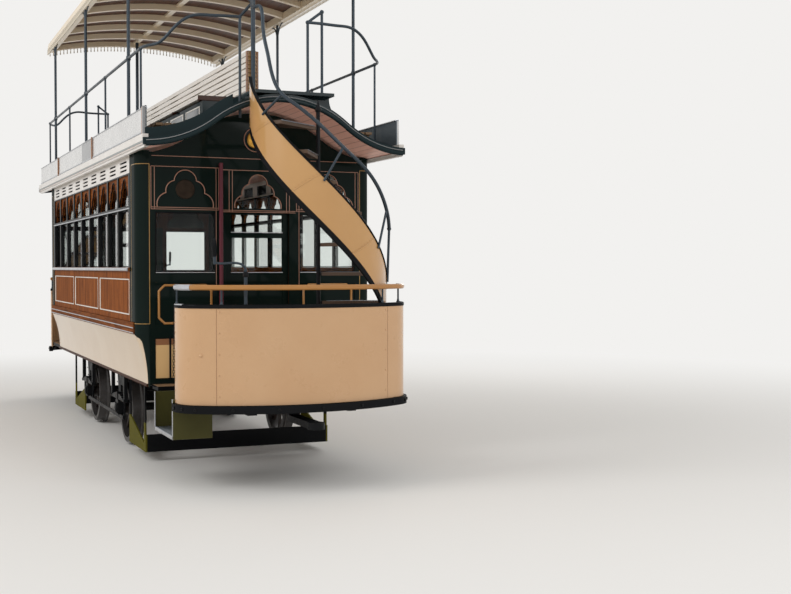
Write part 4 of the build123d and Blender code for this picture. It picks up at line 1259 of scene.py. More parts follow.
@dataclass(frozen=True)
class SaloonSides:
    """Beading, mouldings, arch edges and louvres along both long sides, their corners, and the floor."""

    car: Car
    bead: float = 0.012
    stile: float = 0.051
    sill_wide: float = 0.028
    rail_bead: float = 0.009
    edging: float = 0.009
    post: float = 0.052
    vent_half: float = 0.149
    blades: int = 3
    blade_pitch: float = 0.034
    planks: int = 14
    plank_thick: float = 0.035
    plank_gap: float = 0.002
    gilt_wide: float = 0.006
    gilt_thick: float = 0.002
    foot_reach: float = 0.075
    foot_soft: float = 0.062
    foot_rows: int = 18
    foot_spans: int = 8

    def build(self) -> None:
        """Builds each run of trim."""
        self.waist_beading()
        self.sill_moulding()
        self.rail_beads()
        self.transom_line()
        self.arch_edging()
        self.window_stops()
        self.louvres()
        self.rocker_foot()
        self.floor()
        self.corner_lines()
        self.corner_feet()

    def waist_beading(self) -> None:
        """A pale bead round each sunk mahogany panel."""
        car = self.car
        shape = Shape()
        third = 2 * car.frame_end / 3
        for number in range(3):
            x0 = -car.frame_end + third * number + self.stile
            x1 = x0 + third - 2 * self.stile
            low = (x0 + self.bead / 2, car.waist_z + 0.050 + self.bead / 2)
            high = (x1 - self.bead / 2, car.sill_z - 0.062 - self.bead / 2)
            path = [(x, car.half - 0.010, z) for x, z in oblong(low, high)]
            shape.sweep(path, half_round(self.bead, 0.008), up=OUTWARD, loop=True)
        shape.piece("waist_beading", Palette.seat, Slot.MAHOGANY, symmetry=Symmetry.SIDES)

    def sill_moulding(self) -> None:
        """The silver-white half-round along the window sill."""
        car = self.car
        shape = Shape()
        section = half_round(self.sill_wide, 0.010)
        shape.run(car.frame_end, car.half + 0.016, car.sill_z + 0.017, section)
        shape.piece("sill_moulding", Palette.silver, Slot.PALE, symmetry=Symmetry.SIDES)

    def rail_beads(self) -> None:
        """Silver lines on the moulding under the waist panels."""
        car = self.car
        shape = Shape()
        end = car.end - car.corner
        for z in (car.mould_z + 0.010, car.mould_z + 0.052):
            shape.run(end, car.half + 0.010, z, half_round(self.rail_bead, 0.006))
        shape.piece("rail_beads", Palette.silver, Slot.PALE, symmetry=Symmetry.SIDES)

    def transom_line(self) -> None:
        """The pale line on the transom over the side windows."""
        car = self.car
        shape = Shape()
        shape.run(car.frame_end, car.half, car.transom_z + 0.008, half_round(0.010, 0.005))
        shape.piece("transom_line", Palette.silver, Slot.PALE, symmetry=Symmetry.SIDES)

    def arch_edging(self) -> None:
        """A black edge round each stepped arch."""
        car = self.car
        shape = Shape()
        for bay in range(car.bays):
            x = car.bay_middle(bay)
            width = car.bay - self.post - 0.050
            outline = car.cloud(width, car.transom_z + 0.030, car.letter_z - 0.036)
            path = [(x + across, car.half - 0.012, z) for across, z in outline]
            shape.sweep(path, chamfered(self.edging, 0.008, 0.002), up=OUTWARD)
        shape.piece("arch_edging", Palette.black, Slot.IRON, symmetry=Symmetry.SIDES)

    def window_stops(self) -> None:
        """Slim stops that hold the panes."""
        car = self.car
        shape = Shape()
        for bay in range(car.bays):
            x = car.bay_middle(bay)
            half = (car.bay - self.post) / 2 - 0.007
            low = (x - half, car.sill_z + 0.041)
            high = (x + half, car.transom_z - 0.007)
            path = [(a, car.half - 0.026, z) for a, z in oblong(low, high)]
            shape.sweep(path, chamfered(0.008, 0.014, 0.002), up=OUTWARD, loop=True)
        shape.piece("window_stops", Palette.black, Slot.GREEN, symmetry=Symmetry.SIDES)

    def louvres(self) -> None:
        """Sloping blades in the vents of the letter board, and the board behind them."""
        car = self.car
        shape = Shape()
        front, back = car.half - 0.022, car.half - 0.046
        board = self.vent_half + 0.016
        blade = [(0.014, -0.010), (0.014, -0.008), (-0.014, 0.008), (-0.014, 0.006)]
        for bay in range(car.bays):
            x = car.bay_middle(bay)
            for row in range(1, self.blades + 1):
                z = car.letter_z + self.blade_pitch * row
                path = [(x - self.vent_half, front, z), (x + self.vent_half, front, z)]
                shape.sweep(path, blade, up=UP)
            low, high = car.letter_z + 0.016, car.letter_z + 0.122
            shape.box((x - board, back, low), (x + board, back + 0.004, high))
        shape.piece("vent_louvres", Palette.black, Slot.IRON, symmetry=Symmetry.SIDES)

    def rocker_foot(self) -> None:
        """The brown moulding along the foot of the rocker panel."""
        car = self.car
        shape = Shape()
        y, z = car.rocker_half - 0.004, car.rocker_z + 0.012
        shape.run(car.end - 0.030, y, z, half_round(0.030, 0.015))
        shape.piece("rocker_foot", Palette.brown, Slot.MAHOGANY, symmetry=Symmetry.SIDES)

    def floor(self) -> None:
        """Floor boards whose edges stay inside the rocker panels."""
        car = self.car
        shape = Shape()
        half, end = car.rocker_half - 0.008, car.end - 0.070
        high = car.floor_z
        low = high - self.plank_thick
        wide = 2 * half / self.planks
        for number in range(self.planks):
            y0 = wide * number - half + self.plank_gap / 2
            shape.box((-end, y0, low), (end, y0 + wide - self.plank_gap, high), 0.002)
        boards = shape.piece("saloon_floor_boards", Palette.oak, Slot.FLOOR, symmetry=Symmetry.ALONE)
        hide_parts("saloon_floor")

    def corner_lines(self) -> None:
        """The gilt oblong that wraps round each corner pillar."""
        shape = Shape()
        car = self.car
        low, high = car.waist_z - 0.010, car.letter_z + 0.057
        side, inner = car.end - 0.213, car.half - car.corner
        bend = arc((car.end - car.corner, inner), car.corner, 90, 0, 8)
        for z in (low, high):
            path = [(side, car.half, z)] + [(x, y, z) for x, y in bend]
            shape.sweep(path, chamfered(self.gilt_thick, self.gilt_wide, 0.0005), up=UP)
        for x, y, out in ((side, car.half, OUTWARD), (car.end, inner, AHEAD)):
            shape.sweep([(x, y, low), (x, y, high)], chamfered(self.gilt_wide, self.gilt_thick, 0.0005),
                        up=out)
        shape.piece("corner_lines", Palette.gilt_line, Slot.GREEN, symmetry=Symmetry.ALL_FOUR)

    def corner_feet(self) -> None:
        """The rocker's cream carried round onto the foot of each corner, with a rounded top."""
        car = self.car
        shape = Shape()
        inner, middle = car.half - car.corner, car.end - car.corner
        low, high, soft = car.rocker_z + 0.004, car.mould_z - 0.010, self.foot_soft
        rings = []
        for row in range(self.foot_rows + 1):
            z = low + (high - low) * row / self.foot_rows
            part = (z - car.rocker_z) / (car.mould_z - car.rocker_z)
            bulge = car.rocker_half + (car.half - car.rocker_half) * part ** 2 - inner
            over = min(soft, max(0.0, z - (high - soft)))
            stop = math.asin((self.foot_reach - soft + math.sqrt(soft ** 2 - over ** 2)) / car.corner)
            ring = []
            for way, lift in ((1, 0.0015), (-1, -0.0010)):
                for step in range(self.foot_spans + 1)[::way]:
                    turn = stop * step / self.foot_spans
                    ring.append((middle + (car.corner + lift) * math.sin(turn),
                                 inner + (bulge + lift) * math.cos(turn), z))
            rings.append(shape.ring(ring))
        shape.skin(rings)
        shape.faces.extend([tuple(reversed(rings[0])), tuple(rings[-1])])
        shape.piece("corner_feet", Palette.rocker, Slot.CREAM, symmetry=Symmetry.ALL_FOUR)


@dataclass(frozen=True)
class EndWalls:
    """Panels, coach lines, beads and arch rims on both bulkheads, and the trim of the sliding doors."""

    car: Car
    line: float = 0.0055
    rim: float = 0.008
    moulding: float = 0.020
    inner: float = 0.3662
    outer: float = 0.8712
    sunk: float = 0.0075
    moulding_inner: float = 0.403
    moulding_outer: float = 0.840
    # Height of the tan painted shadow band at the head of each cream field.
    shade_band_tall: float = 0.050
    bar_y: float = 0.750
    side_arch: tuple[float, float] = (0.465, 0.316)
    door_arch: tuple[float, float] = (0.402, 0.294)
    door_in: float = 0.036
    door_half: float = 0.245
    door_pane_half: float = 0.226
    pull_y: float = -0.250
    pull_z: float = 1.335

    def build(self) -> None:
        """Builds the trim of both ends and both doors."""
        self.cream_fields()
        self.panel_mouldings()
        self.coach_lines()
        self.window_edges()
        self.arches()
        self.medallion()
        for body, turned in ((Body.DOOR_FRONT, False), (Body.DOOR_REAR, True)):
            self.door_trim(body, turned)

    def cream_fields(self) -> None:
        """The lower panels' cream fields, each with a tan band of painted shadow at its head, under the
        moulding, and a black bar over it.
        """
        car = self.car
        fields, shade_bands, bars = Shape(), Shape(), Shape()
        face, low, high = car.end - self.sunk, car.platform_z + 0.047, car.mould_z - 0.037
        for side in (-1, 1):
            y0, y1 = sorted((side * (self.outer - 0.004), side * (self.inner + 0.004)))
            # The top band of each field is painted shadow under the projecting moulding.
            for shape, z0, z1 in ((fields, low, high - self.shade_band_tall),
                                  (shade_bands, high - self.shade_band_tall, high)):
                shape.plate([(face, y, z) for y, z in oblong((y0, z0), (y1, z1))], (0.004, 0, 0))
            y = side * self.bar_y
            bars.box((face, y - 0.007, low - 0.016), (face + 0.016, y + 0.007, high + 0.022), 0.003)
        fields.piece("end_wall_fields", Palette.field, Slot.CREAM)
        shade_bands.piece("end_wall_painted_shade", Palette.seam_and_shade_tan, Slot.CREAM)
        bars.piece("end_wall_bars", Palette.black, Slot.IRON)

    def panel_mouldings(self) -> None:
        """Ochre half-round mouldings with cut corners in the middle panels."""
        car = self.car
        shape = Shape()
        low, high, corner = car.waist_z - 0.009, car.sill_z - 0.113, 0.047
        for side in (-1, 1):
            y0, y1 = sorted((side * self.moulding_outer, side * self.moulding_inner))
            path = [(y0, low + corner), (y0 + corner, low), (y1 - corner, low), (y1, low + corner),
                    (y1, high - corner), (y1 - corner, high), (y0 + corner, high), (y0, high - corner)]
            shape.sweep([(car.end - self.sunk, y, z) for y, z in path], half_round(self.moulding, 0.009),
                        up=AHEAD, loop=True)
        shape.piece("end_panel_mouldings", Palette.handrail, Slot.OCHRE)

    def coach_lines(self) -> None:
        """Pairs of fine rose lines beside the arches, over the windows and under the roof."""
        car = self.car
        shape = Shape()
        foot, head = car.transom_z - 0.007, car.letter_z + 0.040
        uprights, levels = [], [(foot + 0.433, -0.896, 0.896)]
        for side in (-1, 1):
            uprights.extend([(side * 0.902, foot, head), (side * 0.874, foot, head)])
            uprights.extend([(side * 0.361, car.sill_z - 0.146, head), (side * 0.339, foot, head)])
            for y in (side * 0.250, side * 0.249 + 0.0265):
                uprights.append((y, foot - 0.013, head - 0.013))
            levels.extend([(z, side * 0.902, side * 0.339) for z in (foot, foot + 0.015, head)])
        levels.extend([(z, -0.330, 0.330) for z in (foot - 0.013, foot, head - 0.013)])
        x = car.end
        runs = [((x, y, z0), (x, y, z1)) for y, z0, z1 in uprights]
        runs.extend([((x, y0, z), (x, y1, z)) for z, y0, y1 in levels])
        for ends in runs:
            shape.sweep(ends, chamfered(self.line, 0.002, 0.0005), up=AHEAD)
        shape.piece("end_coach_lines", Palette.rose_line, Slot.GREEN)

    def window_edges(self) -> None:
        """Black beads in the window openings, over a bright lower edge."""
        beads, edges = Shape(), Shape()
        car = self.car
        for side in (-1, 1):
            y0, y1 = sorted((side * (self.outer - 0.006), side * (self.inner + 0.006)))
            low, high = (y0, car.sill_z - 0.007), (y1, car.transom_z - 0.034)
            path = [(car.end - 0.008, y, z) for y, z in oblong(low, high)]
            beads.sweep(path, chamfered(0.012, 0.012, 0.003), up=AHEAD, loop=True)
            path = [(car.end - 0.001, y, car.sill_z - 0.009) for y in (y0, y1)]
            edges.sweep(path, half_round(0.007, 0.003), up=AHEAD)
        beads.piece("end_window_beads", Palette.black, Slot.GREEN)
        edges.piece("end_window_edges", Palette.silver, Slot.GREEN)

    def arches(self) -> None:
        """Rose rims round the stepped arches, and the dark board with its disc in the step side's arch."""
        rims, boards, discs = Shape(), Shape(), Shape()
        car = self.car
        foot = car.transom_z + 0.012
        arches = ((-car.window_y, self.side_arch), (0.0, self.door_arch), (car.window_y, self.side_arch))
        for centre, (width, high) in arches:
            outline = car.cloud(width, foot, car.transom_z + high)
            path = [(car.end, centre + across, z) for across, z in outline]
            rims.sweep(path, half_round(self.rim, 0.005), up=AHEAD)
        width, high = self.side_arch
        outline = car.cloud(width - 0.003, foot + 0.001, car.transom_z + high - 0.0015)
        boards.plate([(car.end - 0.0115, across - car.window_y, z) for across, z in outline], (0.005, 0, 0))
        discs.turn((car.end - 0.007, -car.window_y, foot + 0.146), AHEAD,
                   [(0.080, 0.0), (0.080, 0.004), (0.076, 0.007), (0.030, 0.006), (0.0, 0.006)], 36)
        rims.piece("end_arch_rims", Palette.rose_line, Slot.GREEN)
        boards.piece("end_arch_boards", Palette.green, Slot.GREEN)
        discs.piece("end_arch_discs", Palette.bronze, Slot.GREEN)

    def medallion(self) -> None:
        """A bare brass disc in a fine ring over the door."""
        car = self.car
        disc, ring = Shape(), Shape()
        y, z = -0.020, car.eave_z + 0.150
        profile = [(0.075, 0), (0.075, 0.005), (0.070, 0.009), (0.062, 0.007), (0.030, 0.010), (0.0, 0.011)]
        disc.turn((car.end, y, z), AHEAD, profile, 40)
        path = [(car.end + 0.001, y + a, z + b) for a, b in arc((0, 0), 0.100, 0, 350, 35)]
        ring.sweep(path, circle(0.004, 8), up=AHEAD, loop=True)
        disc.piece("end_disc", Palette.brass, Slot.GREEN)
        ring.piece("end_ring", Palette.rose_line, Slot.GREEN)

    def door_trim(self, body: Body, turned: bool) -> None:
        """Bright lower window edges, a flush finger ring and a kick plate on one sliding door.

        Args:
            body: The door's body.
            turned: Whether it is the far end's door.
        """
        car = self.car
        edges, metal = Shape(), Shape()
        face, pane, half = car.end - self.door_in, self.door_pane_half, self.door_half
        for z in (car.sill_z - 0.010, car.transom_z - 0.189):
            edges.sweep([(face, -pane, z), (face, pane, z)], half_round(0.007, 0.003), up=AHEAD)
        low, high = car.floor_z + 0.020, car.floor_z + 0.085
        metal.box((face, -half, low), (face + 0.003, half, high), 0.001)
        ring = [(0.020, 0), (0.019, 0.003), (0.014, 0.004), (0.011, 0.001)]
        metal.turn((face - 0.001, self.pull_y, self.pull_z), AHEAD, ring, 20)
        for shape, name, finish in ((edges, "edges", Palette.silver), (metal, "pull", Palette.brass)):
            if turned:
                shape.points = [Vector((-p.x, -p.y, p.z)) for p in shape.points]
            shape.piece(body.value + "_" + name, finish, Slot.GREEN, body=body, symmetry=Symmetry.ALONE)


@dataclass(frozen=True)
class RoofTrim:
    """Rolled edges of the hoods with a grey painted highlight on each, and the beads and soffit boards of
    the side cornices.
    """

    car: Car
    roll: float = 0.019
    line: float = 0.0035
    spans: int = 40

    def build(self) -> None:
        """Builds the roof's trim."""
        self.rolled_edge()
        self.cornice_beads()

    def rolled_edge(self) -> None:
        """The thin rolled edge round the front of each hood, with a grey painted highlight along it."""
        car = self.car
        shape = Shape()
        path = []
        half = car.eave_half - 0.022
        for number in range(self.spans + 1):
            y = 2 * half * number / self.spans - half
            path.append((car.hood_front(y) - 0.008, y, car.ogee(y, 0.024)))
        shape.rod(path, self.roll, 10)
        shape.piece("hood_rolls", Palette.fascia, Slot.GREEN)
        # A thin grey rod along the top of the roll: a painted highlight where the roll catches the light.
        line = Shape()
        line.rod([(x + 0.0085, y, z + 0.026) for x, y, z in path], self.line, 6)
        line.piece("hood_roll_highlights", Palette.grey, Slot.GREEN)

    def cornice_beads(self) -> None:
        """Silver beads along the side cornice and the white soffit board under the roof's edge."""
        car = self.car
        beads, soffits = Shape(), Shape()
        end, y = car.hood_end - 0.090, car.eave_half - 0.0075
        for z, wide in ((car.eave_z + 0.056, 0.010), (car.eave_z + 0.090, 0.014)):
            beads.run(end, y, z, half_round(wide, 0.007))
        low, high = car.eave_z + 0.021, car.eave_z + 0.0305
        soffits.box((-end - 0.080, y - 0.062, low), (end + 0.080, y + 0.006, high), 0.002)
        beads.piece("cornice_beads", Palette.silver, Slot.PALE, symmetry=Symmetry.SIDES)
        soffits.piece("eave_soffits", Palette.pale, Slot.PALE, symmetry=Symmetry.SIDES)


@dataclass(frozen=True)
class UpperDeck:
    """Decency board posts and mouldings, clerestory windows, seat ends and rail collars."""

    car: Car
    post_wide: float = 0.036
    post_places: tuple[float, ...] = (3.130, 0.740, -1.580)
    panes: int = 8
    ribs: int = 11
    rib_pitch: float = 0.034
    stanchions: tuple[float, ...] = (-2.75, -1.12, 1.12, 2.75)

    def build(self) -> None:
        """Builds the trim of the upper deck."""
        self.decency_trim()
        self.clerestory_windows()
        self.seat_ends()
        self.rail_collars()

    def decency_trim(self) -> None:
        """Ochre-brown posts, grey boards and silver mouldings on the decency boards."""
        car = self.car
        posts, boards, rails = Shape(), Shape(), Shape()
        outer = car.eave_half - 0.020
        low = car.eave_z + car.eave_deep
        high = car.eave_z + 0.308
        wide = self.post_wide / 2
        for x in self.post_places:
            posts.box((x - wide, -outer - 0.012, low), (x + wide, -outer, high + 0.004), 0.003)
        boards.box((3.152, -outer - 0.014, low), (3.176, -outer + 0.006, high + 0.006), 0.003)
        boards.box((0.130, -outer - 0.004, low + 0.008), (0.710, -outer, high - 0.012), 0.001)
        posts.piece("decency_posts", Palette.post_brown, Slot.MAHOGANY)
        boards.piece("decency_grey_boards", Palette.grey, Slot.PALE)
        end = car.hood_end - 0.085
        rails.sweep([(-end, outer - 0.0125, high - 0.006), (end, outer - 0.0125, high - 0.006)],
                    half_round(0.040, 0.012), up=UP)
        rails.run(end, outer, low + 0.020, half_round(0.014, 0.006))
        rails.piece("decency_mouldings", Palette.silver, Slot.PALE, symmetry=Symmetry.SIDES)

    def clerestory_windows(self) -> None:
        """White frames and panes in the clerestory."""
        car = self.car
        frames, panes = Shape(), Shape()
        pitch = 2 * (car.seat_end - 0.040) / self.panes
        y = car.seat_half - 0.040
        low, high = car.seat_z - 0.190, car.seat_z - 0.090
        for number in range(self.panes):
            x = (number - (self.panes - 1) / 2) * pitch
            half = pitch / 2 - 0.070
            path = [(a, y, z) for a, z in oblong((x - half - 0.010, low - 0.010),
                                                 (x + half + 0.010, high + 0.010))]
            frames.sweep(path, chamfered(0.014, 0.010, 0.003), up=OUTWARD, loop=True)
            panes.box((x - half - 0.008, y - 0.004, low - 0.008),
                      (x + half + 0.008, y + 0.0015, high + 0.008))
        frames.piece("clerestory_frames", Palette.seat, Slot.PALE, symmetry=Symmetry.SIDES)
        panes.piece("clerestory_panes", Palette.dark_pane, Slot.GLASS, symmetry=Symmetry.SIDES)

    def seat_ends(self) -> None:
        """A ribbed tan board between two brown posts at each end of the knifeboard seat."""
        car = self.car
        posts, ribs = Shape(), Shape()
        x, low, high = car.seat_end, car.seat_z + 0.004, car.back_top_z - 0.006
        for y in (-0.047, 0.047):
            posts.box((x - 0.004, y - 0.008, low), (x + 0.012, y + 0.008, high), 0.003)
        ribs.box((x, -0.038, low), (x + 0.005, 0.038, high), 0.001)
        for number in range(self.ribs):
            z = low + 0.018 + self.rib_pitch * number
            ribs.sweep([(x + 0.005, -0.038, z), (x + 0.005, 0.038, z)], half_round(0.024, 0.008), up=AHEAD)
        posts.piece("seat_end_posts", Palette.post_brown, Slot.MAHOGANY)
        ribs.piece("seat_end_boards", Palette.tan, Slot.PALE)

    def rail_collars(self) -> None:
        """Collars where the deck's rail posts meet the roof and the rail."""
        car = self.car
        shape = Shape()
        y = car.deck_rail_half
        foot = car.ogee(y, 0.064)
        slim = [(0.026, 0.0), (0.026, 0.006), (0.015, 0.012), (0.0105, 0.030)]
        for x in self.stanchions:
            shape.turn((x, y, foot), UP, slim, 12)
        for x in (-car.canopy_post_x, 0.0, car.canopy_post_x):
            shape.turn((x, y, foot), UP, [(0.034, 0), (0.034, 0.008), (0.022, 0.018), (0.0155, 0.050)], 14)
            shape.turn((x, y, car.deck_rail_z - 0.019), UP,
                       [(0.0165, 0), (0.020, 0.008), (0.020, 0.030), (0.0165, 0.038)], 12)
        shape.piece("deck_rail_collars", Palette.rail_steel, Slot.IRON, symmetry=Symmetry.SIDES)


@dataclass(frozen=True)
class Canopy:
    """The fringe, dark linings and brackets of the canopy over the upper deck."""

    car: Car
    pitch: float = 0.040
    drop: float = 0.046
    cord: float = 0.0032
    spans: int = 40
    bracket: float = 0.170
    bracket_r: float = 0.007

    def build(self) -> None:
        """Builds the canopy's trim."""
        self.fringe()
        self.linings()
        self.brackets()

    def edge_points(self) -> list[Vector]:
        """Places at the fringe's pitch along the canopy's -Y side and then across its near end.

        Returns:
            The points, in order.
        """
        car = self.car
        made = []
        count = int(2 * car.canopy_end / self.pitch)
        for number in range(count + 1):
            x = -car.canopy_end + 2 * car.canopy_end * number / count
            made.append(Vector((x, -car.canopy_half - 0.010, car.canopy_edge_z - 0.030)))
        count = int(2 * car.canopy_half / self.pitch)
        for number in range(count + 1):
            y = -car.canopy_half + 2 * car.canopy_half * number / count
            made.append(Vector((car.canopy_end + 0.011, y, car.canopy_line(y) - 0.044)))
        return made

    def fringe(self) -> None:
        """A zigzag of white cord, with a tassel at each of its lower points."""
        cords, tassels = Shape(), Shape()
        spots = self.edge_points()
        tassel = [(0.002, 0), (0.006, 0.004), (0.006, 0.009), (0.0025, 0.013), (0.005, 0.018),
                  (0.0075, self.drop), (0.004, self.drop + 0.002)]
        path = []
        for spot, after in zip(spots, spots[1:]):
            middle = (spot + after) / 2
            path.extend([spot + Vector((0, 0, 0.004)), middle - Vector((0, 0, 0.016))])
            tassels.turn(middle - Vector((0, 0, 0.014)), (0, 0, -1), tassel, 6)
        path.append(spots[-1] + Vector((0, 0, 0.004)))
        cords.sweep(path, circle(self.cord, 5))
        cords.piece("fringe_cord", Palette.braid, Slot.PALE)
        tassels.piece("fringe_tassels", Palette.braid, Slot.PALE)

    def linings(self) -> None:
        """A dark band inside each end valance, behind the white fringe."""
        shape = Shape()
        car = self.car
        half = car.canopy_half - 0.036
        path = []
        for number in range(self.spans + 1):
            y = 2 * half * number / self.spans - half
            path.append((car.canopy_end - 0.0015, y, car.canopy_line(y) - 0.024))
        shape.sweep(path, chamfered(0.003, 0.038, 0.001), up=UP)
        shape.piece("canopy_linings", Palette.brown, Slot.MAHOGANY)

    def brackets(self) -> None:
        """Curved iron brackets from the posts to the side beams."""
        car = self.car
        shape = Shape()
        bend = arc((self.bracket, self.bracket), self.bracket, 180, 270, 8)
        y, high = -car.deck_rail_half, car.canopy_edge_z - 0.060
        for x in (-car.canopy_post_x, 0.0, car.canopy_post_x):
            for way in (-1, 1):
                path = [(x + way * (0.012 + a), y, high - b) for a, b in bend]
                shape.rod(path, self.bracket_r, 8)
        shape.piece("canopy_brackets", Palette.rail_steel, Slot.CANOPY, symmetry=Symmetry.SIDES)


@dataclass(frozen=True)
class StairTrim:
    """Black edges, riveted seams and nosings of the winding stairs."""

    car: Car
    steps: int = 10
    seams: tuple[tuple[float, float], ...] = ((-61.0, -89.0), (-18.0, -41.0), (33.0, 9.0), (82.0, 58.0))
    seam_spans: int = 8

    def helix(self, start: float, stop: float, lift: float, radius: float, spans: int = 60) -> list[Vector]:
        """Points along the stair panel.

        Args:
            start: The first plan angle in degrees.
            stop: The last plan angle in degrees.
            lift: How far over the panel's top edge.
            radius: The distance from the newel.
            spans: How many spans.

        Returns:
            The points.
        """
        made = []
        for number in range(spans + 1):
            angle = start + (stop - start) * number / spans
            made.append(self.car.on_stair(angle, radius, self.car.panel_top(angle) + lift))
        return made

    def build(self) -> None:
        """Builds the stair's trim at both ends."""
        car = self.car
        middle = car.stair_r + 0.007
        edges = Shape()
        edges.sweep(self.helix(133.5, -100.5, -0.004, middle), chamfered(0.026, 0.016, 0.004), up=UP)
        edges.sweep(self.helix(114.0, -97.0, -car.panel_tall + 0.018, middle),
                    chamfered(0.022, 0.040, 0.004), up=UP)
        edges.piece("stair_panel_edges", Palette.black, Slot.IRON)
        seams = Shape()
        for above, below in self.seams:
            foot = car.panel_top(below) - car.panel_tall + 0.040
            head = car.panel_top(above) - 0.014
            path, ways = [], []
            for step in range(self.seam_spans + 1):
                part = step / self.seam_spans
                angle = below + (above - below) * part
                path.append(car.on_stair(angle, middle + 0.007, foot + (head - foot) * part))
                ways.append(car.on_stair(angle, 1.0, 0.0) - car.on_stair(angle, 0.0, 0.0))
            seams.sweep(path, chamfered(0.010, 0.003, 0.001), up=ways[self.seam_spans // 2])
            for spot, way in zip(path, ways):
                seams.rivet(spot + Vector((0, 0, 0.016)), way, 0.0035)
        seams.piece("stair_panel_seams", Palette.ochre, Slot.OCHRE)
        self.nosings()

    def nosings(self) -> None:
        """A bright steel nosing on the front edge of each tread."""
        car = self.car
        shape = Shape()
        turn = (car.stair_stop - car.stair_start) / self.steps
        rise = (car.landing_z - 0.050 - car.platform_z) / self.steps
        for number in range(self.steps - 1):
            angle = car.stair_start + turn * number + 2.5
            z = car.platform_z + rise * (number + 1)
            near = car.on_stair(angle - 1.2, 0.070, z)
            far = car.on_stair(angle - 1.2, car.stair_r - 0.012, z)
            shape.sweep([near, far], chamfered(0.030, 0.004, 0.001), up=UP)
        shape.piece("stair_nosings", Palette.steel, Slot.IRON)


